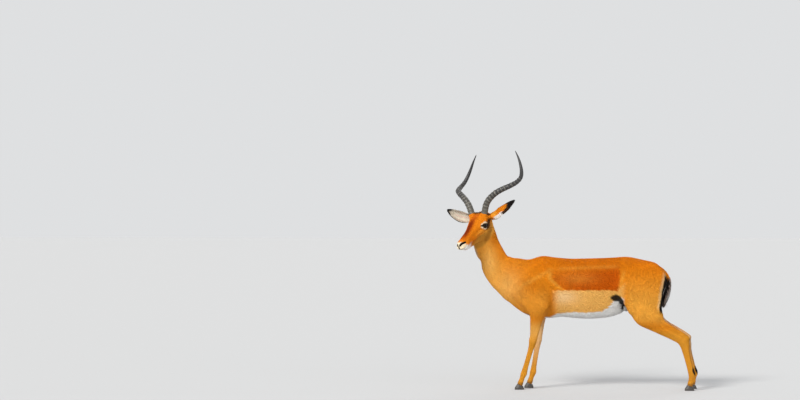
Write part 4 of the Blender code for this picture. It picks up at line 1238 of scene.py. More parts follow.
def tailColour(points, colour):  # white hair painted dusky grey on the sides as painted shade, black in front and down the middle behind, orange at the root
    x, y, z = points.T
    behind = x - tailFront(z)
    ragged = 0.0016 * wobble(points, 0.006)
    tail = ramp(behind, -0.003, 0.003) * (z < 0.80) * (z > 0.50) * (np.abs(y) < 0.035)
    # painted shade: the tail's white hair greyed on its sides
    own = np.where((behind > 0.026)[:, None], dye["white"] * 0.8, dye["tailShade"])
    front = 1 - ramp(behind + ragged, 0.014, 0.018)
    own = painted(own, dye["black"], front * ramp(np.abs(y), 0.002, 0.006))
    own = painted(own, dye["black"], np.exp(-((y / 0.0090) ** 4)) * ramp(behind, 0.014, 0.022))
    own = painted(own, dye["orange"], ramp(z, 0.755, 0.785))
    return painted(colour, own, tail)


def faceMasses(points, normals, ragged):  # forehead, bridge of the nose, jaw, cheeks and muzzle, with painted shade under the jaw and behind the eye
    forward, left, up, _ = faceShare(points)
    wide = np.abs(left)
    own = np.tile(dye["orange"] * (0.98, 0.92, 0.9), (len(points), 1))
    forehead = np.exp(-((left / 0.028) ** 4)) * within(forward, -0.01, 0.23, 0.02)
    own = painted(own, dye["forehead"], 0.8 * forehead)
    # the bridge's real dark blaze, widened and darkened further as painted shade along the ridge
    bridge = np.exp(-((left / 0.0225) ** 4)) * within(forward + ragged, 0.055, 0.205, 0.034)
    own = painted(own, dye["nose"], 0.90 * bridge * ramp(normals @ headAxes[2], 0.2, 0.6))
    jaw = 1 - ramp(up + ragged, -0.112, -0.080)
    own = painted(own, dye["tan"], jaw)
    under = ramp(-(normals @ headAxes[2]), 0.80, 0.97) * ramp(-up, 0.066, 0.078)
    under = under * (1 - ramp(wide, 0.018, 0.030)) * ramp(forward, 0.02, 0.08)
    own = painted(own, dye["white"], under)
    cheek = spot((forward, wide, up), (0.095, 0.05, -0.078), (0.045, 0.03, 0.016))
    own = painted(own, dye["tan"], 0.5 * cheek)
    # painted shade under the jaw, below the line of the mouth
    mandibleShade = within(forward, 0.06, 0.20, 0.02) * (1 - ramp(up + 0.25 * (0.2 - forward), -0.080, -0.066))
    own = painted(own, dye["shade"], 0.5 * mandibleShade)
    muzzle = ramp(forward + 0.35 * (-0.045 - up) + ragged, 0.232, 0.250)
    own = painted(own, dye["cream"], muzzle)
    lip = ramp(forward + ragged, 0.190, 0.225) * (1 - ramp(up + ragged, -0.074, -0.064))
    own = painted(own, dye["white"], lip)
    own = painted(own, dye["white"], ramp(forward, 0.225, 0.25) * (1 - ramp(up, -0.056, -0.046)))
    # painted shade: a dark brown patch behind and below the eye, under the ear
    shade = spot((forward, up), (0.006, -0.070), (0.036, 0.026))
    shade = shade + spot((forward, up), (0.028, -0.094), (0.024, 0.014))
    return painted(own, dye["brown"] * 0.45, 0.92 * ramp(shade, 0.15, 0.80) * (wide > 0.03))


def eyeRings(points, own, ragged):  # pale ring, dark rims and dark corners of each eye
    for hand in (1, -1):
        gap, rel, a, b, c = eyeOpening(points, hand)
        close = (np.linalg.norm(rel, axis=1) < 0.06) & (c > -0.004)
        above = within(gap + 0.5 * ragged, 0.0076, 0.0165, 0.0020) * ramp(a + 0.5 * b, -0.012, 0.004)
        above = above * (b > -0.004)
        below = within(gap + 0.5 * ragged, 0.0052, 0.0145, 0.0025) * (b < 0.002) * ramp(a, -0.024, -0.008)
        own = painted(own, dye["cream"], 0.95 * np.maximum(above, below) * close)
        corner = spot((a, b), (0.0265, -0.0005), (0.0135, 0.0060)) * close
        outer = spot((a, b), (-0.0235, 0.0020), (0.0110, 0.0080)) * close
        rim = 1 - ramp(gap + 0.3 * ragged - 0.0022 * (b > 0), 0.0038, 0.0056)
        rim = np.maximum.reduce([rim, ramp(corner, 0.25, 0.6), ramp(outer, 0.3, 0.7)])
        own = painted(own, dye["black"], rim * close)
    return own


def noseAndMouth(points, normals, own, ragged):  # nose pad, nostrils and mouth line
    forward, left, up, _ = faceShare(points)
    wide = np.abs(left)
    pad = ramp(forward, 0.262, 0.270) * (1 - ramp(wide, 0.005, 0.009)) * within(up, -0.064, -0.024, 0.003)
    own = painted(own, dye["black"] * 1.6, 0.9 * pad)
    for hand in (1, -1):
        nostril = pathBeside(points, normals, facePresses[hand]["nostril"]["path"])
        opening = np.interp(forward, (0.232, 0.258), (0.0020, 0.0074))  # wider towards the tip of the nose
        own = painted(own, dye["black"] * 0.5, 1 - ramp(nostril - opening, 0, 0.0016))
        mouth = pathBeside(points, normals, facePresses[hand]["mouth"]["path"])
        lips = (1 - ramp(mouth + ragged, 0.003, 0.009)) * within(forward, 0.190, 0.240, 0.014)
        own = painted(own, dye["cream"], 0.6 * lips)
        slit = (1 - ramp(mouth, 0.0010, 0.0024)) * ramp(forward, 0.184, 0.200)
        own = painted(own, dye["brown"] * 0.3, 0.9 * slit)
    return own


headLines = {  # paths in head coordinates for the left side
    "hornToEar": [(-0.012, 0.070, -0.018), (-0.030, 0.084, -0.026), (-0.046, 0.104, -0.040)],
    "jawEdgeShadow": [(0.000, 0.050, -0.115), (0.030, 0.050, -0.130), (0.080, 0.034, -0.160)],
}


def headColour(points, normals, colour):  # the face, the black poll, the black line to the ear and painted shadow along the jaw's rear edge
    forward, left, up, radius = faceShare(points)
    face = ramp(forward, -0.075, -0.035) * (1 - ramp(radius, 0.105, 0.125)) * ramp(points[:, 2], 0.93, 0.955)
    ragged = 0.0022 * wobble(points, 0.006) + 0.0012 * wobble(points, 0.0023)
    own = faceMasses(points, normals, ragged)
    own = eyeRings(points, own, ragged)
    own = noseAndMouth(points, normals, own, ragged)
    poll = within(forward + ragged, -0.060, -0.016, 0.008) * (1 - ramp(np.abs(left), 0.045, 0.062))
    own = painted(own, dye["black"] * 1.3, 0.85 * poll * ramp(up, -0.040, -0.020))
    for hand in (1, -1):
        line = pathDistance(points, fromHead(mirrored(headLines["hornToEar"], hand)))
        own = painted(own, dye["black"], 0.9 * (1 - ramp(line + 2 * ragged, 0.006, 0.012)))
        # painted shadow along the jaw's rear and lower edge
        line = pathDistance(points, fromHead(mirrored(headLines["jawEdgeShadow"], hand)))
        own = painted(own, dye["shade"], 0.65 * (1 - ramp(line, 0.008, 0.030)))
    return painted(colour, own, face)


def earColour(points, colour):  # orange back, pale banded hollow, white foot, black tip and rims
    for hand, tipStart, tipEnd in ((1, 0.70, 0.80), (-1, 0.88, 0.94)):
        t, share, out = onEar(points, hand)
        ear = ramp(t, 0.10, 0.20) * onEarWall(t, share, out, 1.25)
        ragged = 0.03 * wobble(points, 0.006)
        outside = out > 0
        tip = ramp(t + ragged + 0.08 * np.abs(share), tipStart, tipEnd)
        bands = ramp(np.cos(share * 9.0 + ragged * 8), 0.2, 0.9) * (1 - ramp(np.abs(share), 0.65, 0.8))
        own = np.where(outside[:, None], dye["orange"] * (0.95, 0.9, 0.9), dye["inside"])
        own = painted(own, dye["pink"], 0.7 * bands * ~outside * (1 - ramp(t, 0.6, 0.8)))
        own = painted(own, dye["tan"], 0.7 * outside * (1 - ramp(t, 0.2, 0.42)))
        low = -share * hand  # from the upper edge, -1, to the lower one, +1
        foot = ramp(low + ragged, 0.42, 0.56) * within(t, 0.12, 0.52, 0.06)
        own = painted(own, dye["white"], 0.92 * outside * foot)
        lowRim = ramp(low + ragged + 0.3 * ramp(t, 0.50, 0.80), 0.56, 0.68) * ramp(t + ragged, 0.44, 0.54)
        topRim = ramp(-low + ragged, 0.50, 0.64) * ramp(t, 0.10, 0.20)
        inRim = 0.8 * ~outside * ramp(-low, 0.82, 0.92) * ramp(t, 0.2, 0.4)
        rims = np.maximum(0.95 * lowRim, 0.85 * topRim) * outside
        own = painted(own, dye["black"], np.maximum.reduce([tip, rims, inRim]))
        colour = painted(colour, own, ear)
    return colour


def hideColour(points, normals):  # all markings in turn, then made lighter and darker by up to 9%
    colour = bodyColour(points, normals)
    colour = tailColour(points, colour)
    colour = headColour(points, normals, colour)
    colour = earColour(points, colour)
    tone = 1 + 0.05 * wobble(points, 0.030) + 0.04 * wobble(points, 0.010)
    return np.clip(colour * tone[:, None], 0.0, 0.95)


# Coat: solid tapered locks rooted on the skin, in tufts along the lie of the hair
coatStyles = {  # length, width, spacing, share of the coat's depth that the tips reach
    "body": (0.0200, 0.0025, 0.0043, 0.70),
    "neck": (0.0180, 0.0024, 0.0042, 0.70),
    "belly": (0.0210, 0.0026, 0.0044, 0.80),
    "legs": (0.0100, 0.0016, 0.0027, 0.75),
    "feet": (0.0070, 0.0016, 0.0025, 1.00),
    "brow": (0.0070, 0.0015, 0.0026, 0.75),
    "muzzle": (0.0042, 0.0011, 0.0021, 0.80),
    "ears": (0.0080, 0.0015, 0.0024, 0.40),
    "poll": (0.0150, 0.0020, 0.0028, 4.20),
    "gland": (0.0150, 0.0022, 0.0026, 3.20),
    "tail": (0.0420, 0.0024, 0.0027, 3.20),
    "rump": (0.0210, 0.0024, 0.0040, 0.90),
}
tuftMost = 19500  # locks to a piece
coatLuck = {  # each pair is the least share and how much chance adds to it
    "swing": 22.0,  # degrees between the furthest ways of neighbouring locks
    "bend": 0.05,  # radians by which the way drifts over the body
    "length": (0.75, 0.5),
    "lift": (0.45, 0.55),
    "width": (0.8, 0.4),
}
coatRegions = {"shoulder": -0.10, "rump": 0.30}  # x at which the trunk's own coat starts and ends


def hairLie(points):  # the tubes' own directions, weighted by exp(-distance / 0.02)
    total = np.zeros_like(points)
    for tube in tubes:
        near = tube.near(points, 0.04)
        if len(near):
            away = np.maximum(tube.distance(points[near]), 0.0)
            along = tube.locate(points[near])[4]
            total[near] += along * tube.lie * np.exp(-away / 0.02)[:, None]
    droop = (points[:, 2] > 0.5) & (points[:, 0] > -0.35)
    total[:, 2] -= 0.30 * droop
    for hand in (1, -1):
        t, share, out = onEar(points, hand)
        total[(t > 0.08) & onEarWall(t, share, out)] = earFrame(hand)[1]
        gap, rel, _, _, _ = eyeOpening(points, hand)
        near = np.exp(-(np.maximum(gap, 0) / 0.007)) * (np.linalg.norm(rel, axis=1) < 0.05)
        total += 1.6 * near[:, None] * unit(rel) * np.linalg.norm(total, axis=1, keepdims=True)
    return unit(total)


def styleShares(points, normals):  # weight of each style at each point, the later ones over the earlier
    x, y, z = points.T
    forward, left, up, radius = faceShare(points)
    onFace = ramp(forward, -0.06, -0.02) * (1 - ramp(radius, 0.10, 0.13)) * (z > 0.90)
    top = np.where(x < 0.0, 0.52, 0.46)
    ears = np.zeros(len(points))
    for hand in (1, -1):
        t, share, out = onEar(points, hand)
        ears = np.maximum(ears, ramp(t, 0.06, 0.14) * onEarWall(t, share, out))
    gland = np.maximum(glandSpot(points, 1), glandSpot(points, -1))
    poll = within(forward, -0.062, -0.020, 0.006) * (1 - ramp(np.abs(left), 0.030, 0.050))
    return {
        "neck": ramp(-0.30 - x, 0.0, 0.10) * ramp(z, 0.55, 0.70),
        "belly": (1 - ramp(z, 0.53, 0.57)) * within(x, -0.12, 0.32, 0.03) * (z > 0.44),
        "rump": ramp(x, 0.57, 0.60) * within(z, 0.50, 0.80, 0.02),
        "legs": 1 - ramp(z, top - 0.14, top),
        "feet": 1 - ramp(z, 0.07, 0.13),
        "brow": onFace,
        "muzzle": onFace * ramp(forward, 0.11, 0.21),
        "poll": poll * ramp(up, -0.045, -0.020),
        "ears": ears,
        "gland": ramp(gland, 0.2, 0.5) * ramp(normals[:, 0], -0.1, 0.3),
        "tail": ramp(x - tailFront(z), -0.003, 0.002) * within(z, 0.52, 0.785, 0.008) * (np.abs(y) < 0.03),
    }


def coatStyle(points, normals):  # length, width, spacing and lift at each point
    style = np.tile(coatStyles["body"], (len(points), 1))
    for name, share in styleShares(points, normals).items():
        style = style + (np.array(coatStyles[name]) - style) * share[:, None]
    return style


def bareSkin(points, normals):
    # true on the lids' rims, the nostrils, the nose pad, the mouth line, inside the ears and at the hooves
    bare = np.zeros(len(points), bool)
    for hand in (1, -1):
        gap, rel, _, _, c = eyeOpening(points, hand)
        bare |= (gap < 0.0014) & (np.linalg.norm(rel, axis=1) < 0.030) & (c > 0)
        bare |= pathBeside(points, normals, facePresses[hand]["nostril"]["path"]) < 0.0050
        bare |= pathBeside(points, normals, facePresses[hand]["mouth"]["path"]) < 0.0020
        t, share, out = onEar(points, hand)
        bare |= (t > 0.10) & (t < 0.75) & (out < 0) & (np.abs(out) < 0.01) & (np.abs(share) < 0.55)
    forward, left, up, _ = faceShare(points)
    bare |= (forward > 0.262) & (np.abs(left) < 0.010) & (up > -0.060) & (up < -0.028)
    return bare | (points[:, 2] < 0.036)


def scatter(points, faces, density):
    # faces sorted by place, their share of locks summed, and one root for each whole number of the sum
    corners = points[faces]
    area = np.linalg.norm(facesNormal(points, faces), axis=1) / 2
    middle = corners.mean(1)
    cell = np.floor(middle / 0.02).astype(int)
    order = np.lexsort((middle[:, 2], middle[:, 0], cell[:, 1], cell[:, 2], cell[:, 0]))
    total = np.cumsum((area * density[faces].mean(1))[order])
    marks = np.arange(int(total[-1])) + dice.random(int(total[-1]))
    face = order[np.minimum(np.searchsorted(total, marks), len(order) - 1)]
    one, two = dice.random((2, len(face)))
    over = one + two > 1
    one, two = np.where(over, 1 - one, one), np.where(over, 1 - two, two)
    return face, np.stack([1 - one - two, one, two], axis=1)


def locks(root, normal, way, length, width, tipHeight, settled):
    # spine root + way L t + normal h t^0.8, then moved along the normal to stand h t^0.8 over the skin
    side = unit(np.cross(normal, way))
    rows = []
    for t, wide, thick in ((0.0, 0.75, 0.08), (0.5, 1.0, 0.12), (1.0, 0.0, 0.0)):
        height = tipHeight * t**0.8 - (0.0004 if t == 0 else 0.0)
        spine = root + way * (length * t)[:, None] + normal * height[:, None]
        if t > 0 and settled.any():
            excess = height[settled] - skinField(spine[settled])
            spine[settled] += normal[settled] * np.clip(excess, -0.006, 0.006)[:, None]
        if t == 1.0:
            rows.append(spine[:, None])
            continue
        half = side * (width * wide / 2)[:, None]
        ridge = spine + normal * (width * thick + 0.0001)[:, None]
        rows.append(np.stack([spine - half, spine + half, ridge], axis=1))
    return np.concatenate(rows, axis=1)


lockFaces = np.array([
    (0, 2, 1), (0, 1, 4), (0, 4, 3), (1, 2, 5), (1, 5, 4),
    (2, 0, 3), (2, 3, 5), (3, 4, 6), (4, 5, 6), (5, 3, 6),
])
lockGrain = np.array([(0, 0), (1, 0), (0.5, 0), (0, 0.5), (1, 0.5), (0.5, 0.5), (0.5, 1)])  # across, along
lockPoints = len(lockGrain)


def byChance(name, draws):  # least + more draws
    least, more = coatLuck[name]
    return least + more * draws


def chartPlaces(points):
    # unwrap by the nearest tube: angle round it times its girth, and travel along it
    nearest, best = np.zeros(len(points), int), np.full(len(points), 9.0)
    for number, tube in enumerate(tubes):
        away = tube.distance(points)
        nearest = np.where(away < best, number, nearest)
        best = np.minimum(best, away)
    spots = np.zeros((len(points), 2))
    for number, tube in enumerate(tubes):
        own = np.flatnonzero(nearest == number)
        for part in np.array_split(own, max(1, len(own) // 20000)):
            if len(part):
                s, u, _, size, _, travel = tube.locate(points[part])
                spots[part, 0] = np.arctan2(u, s) * (size[:, 0] + size[:, 1]) / 2
                spots[part, 1] = travel
    return nearest, spots


def packed(nearest, spots):
    # each tube's chart laid on shelves, the scale lowered until all fit the unit square
    charts = np.unique(nearest)
    low = {k: spots[nearest == k].min(0) for k in charts}
    size = {k: spots[nearest == k].max(0) - low[k] + 0.004 for k in charts}
    order = sorted(charts, key=lambda k: -size[k][1])
    scale = 4.0
    while True:
        places, x, y, shelf = {}, 0.0, 0.0, 0.0
        for k in order:
            wide, high = size[k] * scale
            if x + wide > 1.0:
                x, y, shelf = 0.0, y + shelf, 0.0
            places[k] = (x, y)
            x, shelf = x + wide, max(shelf, high)
        if y + shelf <= 1.0 and max(size[k][0] for k in charts) * scale <= 1.0:
            break
        scale *= 0.96
    uv = np.zeros_like(spots)
    for k in charts:
        own = nearest == k
        uv[own] = (spots[own] - low[k] + 0.002) * scale + places[k]
    return np.clip(uv, 0.001, 0.996)


def coatPiece(name, points, colour, luck, uv, material):  # locks as one mesh, with their own attributes
    count = len(points)
    faces = lockFaces[None] + lockPoints * np.arange(count)[:, None, None]
    piece = newPiece(name, points.reshape(-1, 3), faces.reshape(-1, 3))
    piece.data.materials.append(material)
    shade = 0.93 + 0.11 * lockGrain[None, :, 1:]  # lighter towards the tip
    tone = 0.95 + 0.10 * luck[:, None, None]
    addColour(piece, "hide", np.clip(colour[:, None] * shade * tone, 0, 0.95).reshape(-1, 3))
    across = np.tile(lockGrain[None], (count, 1, 1))
    own = np.repeat(luck[:, None, None], lockPoints, 1)
    addVector(piece, "lock", np.concatenate([across, own], axis=2).reshape(-1, 3))
    layer = piece.data.uv_layers.new(name="OFBake")
    patch = uv[:, None] + 0.003 * (lockGrain[None] - (0.5, 0.0)) * (1, 0.9)
    layer.data.foreach_set("uv", patch[:, lockFaces.ravel()].astype(np.float32).ravel())
    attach(piece, "root")
    return piece


def turned(way, normal, angle):  # way turned round the normal
    return way * np.cos(angle)[:, None] + np.cross(normal, way) * np.sin(angle)[:, None]


def coatRegion(root, nearest, ears):  # name of the piece that each lock belongs to
    regions = np.array([tube.region for tube in tubes])[nearest]
    regions[(regions == "trunk") & (root[:, 0] < coatRegions["shoulder"])] = "shoulder"
    regions[(regions == "trunk") & (root[:, 0] > coatRegions["rump"])] = "rump"
    regions[ears > 0.5] = "ears"
    return regions


def makeCoat(material):  # one lock for each square of the spacing, strewn over the skin and turned by chance
    lie = hairLie(skinPoints)
    style = coatStyle(skinPoints, skinNormals)
    spare = 1.0
    face, share = scatter(skinPoints, skinFaces, 1 / (style[:, 2] ** 2) / spare)
    corners = skinFaces[face]
    root = np.einsum("nk,nkd->nd", share, skinPoints[corners])
    normal = unit(np.einsum("nk,nkd->nd", share, skinNormals[corners]))
    kept = ~bareSkin(root, normal)
    corners, share, root, normal = corners[kept], share[kept], root[kept], normal[kept]
    way = np.einsum("nk,nkd->nd", share, lie[corners])
    way = unit(way - normal * (way * normal).sum(1, keepdims=True))
    length, width, _, lift = np.einsum("nk,nkd->nd", share, style[corners]).T
    luck = dice.random((4, len(root)))
    swing = np.radians(coatLuck["swing"]) * (luck[0] - 0.5)
    way = turned(way, normal, swing + coatLuck["bend"] * wobble(root, 0.09))
    length = length * byChance("length", luck[1])
    tall = coatDepth(root) * lift * byChance("lift", luck[2])
    width = width * byChance("width", luck[3])
    ears = styleShares(root, normal)["ears"]
    points = locks(root, normal, way, length, width, tall, ears < 0.5)
    low, high = np.array(cadBox) + np.array([[0.0004], [-0.0004]])  # stays just inside the part's own box
    points = np.clip(points, low, high)
    colour = hideColour(root, normal)
    nearest, spots = chartPlaces(root)
    regions = coatRegion(root, nearest, ears)
    for region in sorted(set(regions)):
        own = np.flatnonzero(regions == region)
        print("coat", region, len(own))
        for number, part in enumerate(np.array_split(own, math.ceil(len(own) / tuftMost))):
            name = "coat" + region[0].upper() + region[1:] + (str(number + 1) if len(own) > tuftMost else "")
            uv = packed(nearest[part], spots[part])
            coatPiece(name, points[part], colour[part], luck[0][part], uv, material)


# Materials
def newMaterial(name):
    material = bpy.data.materials.new(name)
    material.use_nodes = True
    nodes = material.node_tree.nodes
    nodes.clear()
    output = nodes.new("ShaderNodeOutputMaterial")
    shader = nodes.new("ShaderNodeBsdfPrincipled")
    material.node_tree.links.new(shader.outputs["BSDF"], output.inputs["Surface"])
    return material, shader


class Graph:  # short names for making and joining shader nodes
    def __init__(self, material):
        self.tree = material.node_tree

    def node(self, kind, inputs=(), **settings):
        made = self.tree.nodes.new(kind)
        for name, value in settings.items():
            setattr(made, name, value)
        for socket, value in dict(inputs).items():
            self.set(made.inputs[socket], value)
        return made

    def set(self, socket, value):
        if isinstance(value, bpy.types.NodeSocket):
            self.tree.links.new(value, socket)
        else:
            socket.default_value = value

    def attribute(self, name, output):
        return self.node("ShaderNodeAttribute", attribute_name=name).outputs[output]

    def place(self):
        return self.node("ShaderNodeTexCoord").outputs["Object"]

    def noise(self, vector, scale, detail=2.0):
        made = self.node("ShaderNodeTexNoise", {"Vector": vector, "Scale": scale, "Detail": detail})
        return made.outputs["Fac"]

    def fit(self, value, low, high, toLow, toHigh):
        inputs = {"Value": value, "From Min": low, "From Max": high, "To Min": toLow, "To Max": toHigh}
        return self.node("ShaderNodeMapRange", inputs).outputs["Result"]

    def math(self, kind, one, two):
        return self.node("ShaderNodeMath", {0: one, 1: two}, operation=kind).outputs[0]

    def scaled(self, vector, factors):
        return self.node("ShaderNodeVectorMath", {0: vector, 1: factors}, operation="MULTIPLY").outputs[0]

    def mix(self, share, one, two, blend="MIX"):
        made = self.node("ShaderNodeMix", data_type="RGBA", blend_type=blend)
        self.set(made.inputs[0], share)
        self.set(made.inputs[6], one)
        self.set(made.inputs[7], two)
        return made.outputs[2]

    def dimmed(self, colour, value, least, most):  # colour times least to most, by a noise
        tone = self.fit(value, 0.3, 0.7, least, most)
        grey = self.node("ShaderNodeCombineColor", {0: tone, 1: tone, 2: tone}).outputs[0]
        return self.mix(1.0, colour, grey, "MULTIPLY")

    def bump(self, height, strength, distance):
        inputs = {"Height": height, "Strength": strength, "Distance": distance}
        return self.node("ShaderNodeBump", inputs).outputs["Normal"]

    def finish(self, shader, colour, value, dull, bright, normal=None):  # roughness follows a noise too
        self.set(shader.inputs["Base Color"], colour)
        self.set(shader.inputs["Roughness"], self.fit(value, 0.3, 0.7, dull, bright))
        if normal is not None:
            self.set(shader.inputs["Normal"], normal)


def solidColour(rgb):
    return (*(float(value) for value in rgb), 1.0)


finishes = {  # screen values
    "hornTip": (38, 37, 38),
    "hornFoot": (92, 88, 78),
    "hornWorn": (118, 114, 104),
    "hoofDark": (34, 31, 30),
    "hoofPale": (70, 64, 58),
    "irisDark": (18, 10, 6),
    "irisPale": (32, 18, 10),
    "pupil": (8, 7, 8),
    "eyeRim": (30, 22, 18),
}


def finishColour(name):
    return solidColour(fromScreen(*finishes[name]))


def skinMaterial():
    material, shader = newMaterial("skinHide")
    graph = Graph(material)
    fine = graph.noise(graph.place(), 420.0, 3.0)
    colour = graph.dimmed(graph.attribute("hide", "Color"), fine, 0.80, 1.02)
    grain = graph.bump(graph.noise(graph.place(), 800.0, 2.0), 0.5, 0.0008)
    graph.finish(shader, colour, fine, 0.75, 0.6, grain)
    shader.inputs["Specular IOR Level"].default_value = 0.05
    return material


def coatMaterial():
    # lock holds the place across and along the lock, and the lock's own chance number
    material, shader = newMaterial("coatHair")
    graph = Graph(material)
    strands = graph.noise(graph.scaled(graph.attribute("lock", "Vector"), (9.0, 0.8, 60.0)), 1.0, 1.0)
    colour = graph.dimmed(graph.attribute("hide", "Color"), strands, 0.90, 1.10)
    graph.finish(shader, colour, strands, 0.50, 0.68, graph.bump(strands, 0.35, 0.0004))
    shader.inputs["Specular IOR Level"].default_value = 0.07
    return material


def hornMaterial():
    # grain holds the share of the horn's length, how high the ring is, and the angle round it
    material, shader = newMaterial("hornKeratin")
    graph = Graph(material)
    share, ring, _ = graph.node("ShaderNodeSeparateXYZ", {0: graph.attribute("grain", "Vector")}).outputs
    streaks = graph.noise(graph.scaled(graph.place(), (1.0, 1.0, 0.25)), 260.0, 3.0)
    blotch = graph.noise(graph.place(), 45.0, 2.0)
    foot = graph.fit(share, 0.0, 0.30, 1.0, 0.0)
    base = graph.mix(foot, finishColour("hornTip"), finishColour("hornFoot"))
    raised, low = graph.fit(ring, 0.25, 0.9, 0.0, 0.75), graph.fit(share, 0.35, 0.75, 1.0, 0.15)
    base = graph.mix(graph.math("MULTIPLY", raised, low), base, finishColour("hornWorn"))
    base = graph.dimmed(graph.dimmed(base, streaks, 0.72, 1.15), blotch, 0.8, 1.1)
    graph.finish(shader, base, streaks, 0.38, 0.55, graph.bump(streaks, 0.45, 0.0007))
    return material


def hoofMaterial():
    material, shader = newMaterial("hoofHorn")
    graph = Graph(material)
    bands = graph.noise(graph.scaled(graph.place(), (0.25, 0.25, 1.0)), 420.0, 2.0)
    flecks = graph.noise(graph.place(), 160.0, 3.0)
    pale = graph.fit(bands, 0.35, 0.65, 0.0, 1.0)
    colour = graph.mix(pale, finishColour("hoofDark"), finishColour("hoofPale"))
    bump = graph.bump(bands, 0.4, 0.0006)
    graph.finish(shader, graph.dimmed(colour, flecks, 0.8, 1.15), flecks, 0.36, 0.55, bump)
    return material


def eyeMaterial():
    # iris holds the place along the lids, the distance from the gaze, and a measure, 1 at the pupil's edge
    material, shader = newMaterial("eyeBall")
    graph = Graph(material)
    _, away, pupil = graph.node("ShaderNodeSeparateXYZ", {0: graph.attribute("iris", "Vector")}).outputs
    fibres = graph.noise(graph.place(), 900.0, 2.0)
    pale = graph.fit(fibres, 0.3, 0.7, 0.0, 1.0)
    iris = graph.mix(pale, finishColour("irisDark"), finishColour("irisPale"))
    colour = graph.mix(graph.fit(pupil, 0.95, 1.15, 0.0, 1.0), finishColour("pupil"), iris)
    colour = graph.mix(graph.fit(away, 0.0128, 0.0142, 0.0, 1.0), colour, finishColour("eyeRim"))
    graph.finish(shader, colour, fibres, 0.07, 0.10)
    shader.inputs["Specular IOR Level"].default_value = 0.14
    return material


# Eyes: a ball with a bulging cornea
eyeBall = {
    "rows": 48,
    "columns": 64,
    "cornea": 0.035,  # share of the radius by which it bulges
    "pupil": (0.0072, 0.0034),  # half length and half height of the level bar
    "level": eyeSize["tilt"] * 0.55,  # degrees between the opening and the pupil
}


def makeEye(hand, name, material):
    # ball R (1 + k exp(-(lean/0.62)^4)) round the gaze: the bulge k is the cornea over the iris
    centre, long, upward, gaze = eyes[hand]
    lean = np.linspace(0, math.pi, eyeBall["rows"])[1:-1, None]
    turn = np.linspace(0, 2 * math.pi, eyeBall["columns"], endpoint=False)[None]
    reach = eyeSize["radius"] * (1 + eyeBall["cornea"] * np.exp(-((lean / 0.62) ** 4)))[..., None]
    across = np.cos(turn)[..., None] * long + np.sin(turn)[..., None] * upward
    ball = centre + reach * (np.cos(lean)[..., None] * gaze + np.sin(lean)[..., None] * across)
    front, back = gaze * eyeSize["radius"] * (1 + eyeBall["cornea"]), gaze * eyeSize["radius"]
    vertices, faces = closedRings(ball, (centre + front, centre - back))
    eye = newPiece(name, vertices, outward(vertices, faces, vertices.mean(0)))
    rel = vertices - centre
    a, b = rel @ long, rel @ upward
    level = math.radians(eyeBall["level"])
    flat, steep = a * math.cos(level) - b * math.sin(level), a * math.sin(level) + b * math.cos(level)
    halfLong, halfHigh = eyeBall["pupil"]
    pupil = (np.abs(flat) / halfLong) ** 2.6 + (np.abs(steep) / halfHigh) ** 2.6
    seen = rel @ gaze > 0
    iris = [a, np.where(seen, np.hypot(a, b), 0.03), np.where(seen, pupil, 9.0)]  # none at the back
    addVector(eye, "iris", np.stack(iris, axis=1))
    eye.data.materials.append(material)
    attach(eye, "root")
    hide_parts("eye_" + name[3:].lower())


# Hooves
hoofShape = {
    "height": 0.031,
    "slope": 0.35,  # rise of the upper edge towards the toe
    "toe": 0.036,
    "heel": -0.026,
    "gap": 0.0008,  # below the skin of the foot
    "sides": 72,
    "ridges": 0.012,  # share of the width by which the growth rings stand out
}
hoofLevels = [  # rise, spread, half width, offset from the foot's middle
    (0.00, 0.975, 0.0100, 0.0125),
    (0.02, 1.00, 0.0105, 0.0125),
    (0.30, 1.00, 0.0104, 0.0122),
    (1.00, 0.62, 0.0094, 0.0107),
    (1.10, 0.48, 0.0070, 0.0107),
]


def makeHoof(coronet, inner, name, node, material):
    # an oval narrowed at the toe, a = cos, b = sin (1 - 0.34 a^2.2), scaled by the levels as it rises
    turn = np.linspace(0, 2 * math.pi, hoofShape["sides"], endpoint=False)
    a = np.cos(turn)
    b = np.sin(turn) * (1 - 0.34 * np.maximum(a, 0) ** 2.2)
    rises = np.concatenate([[0.0], np.linspace(0.02, 1.0, 30), [1.04, 1.08, 1.10]])
    table = np.array(hoofLevels)
    spread, half, off = (np.interp(rises, table[:, 0], table[:, k]) for k in (1, 2, 3))
    ridges = 1 + hoofShape["ridges"] * np.sin(rises * 30) * (rises > 0.05) * (rises < 1.0)
    toe, heel = hoofShape["toe"], hoofShape["heel"]
    forward = (toe + heel) / 2 * spread - 0.004 * rises
    forward = forward[:, None] + a * ((toe - heel) / 2 * spread * ridges)[:, None]
    narrow = np.where(b * inner > 0, 1.0, 0.85)  # the side away from the cleft is flatter
    across = b * narrow * (half * ridges)[:, None]
    height = hoofShape["height"] - hoofShape["gap"] + hoofShape["slope"] * forward
    height = np.minimum(rises, 1.0)[:, None] * height
    height = np.maximum(height + np.maximum(rises - 1.0, 0)[:, None] * 0.012, 0.0)
    x, y = coronet[0] - forward, coronet[1] + inner * off[:, None] + across
    vertices, faces = closedRings(np.stack([x, y, height], axis=-1))
    hoof = newPiece(name, vertices, outward(vertices, faces, vertices.mean(0)))
    hoof.data.materials.append(material)
    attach(hoof, "root")
    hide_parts(node)


# Lashes: dark hairs along the upper lid
lashes = {
    "count": 44,
    "from": -0.82,  # shares of the opening, from the outer corner to the inner one
    "to": 0.62,
    "length": (0.0065, 0.0025),  # the least, and how much chance adds
    "width": 0.0005,
    "lift": 0.0022,
}


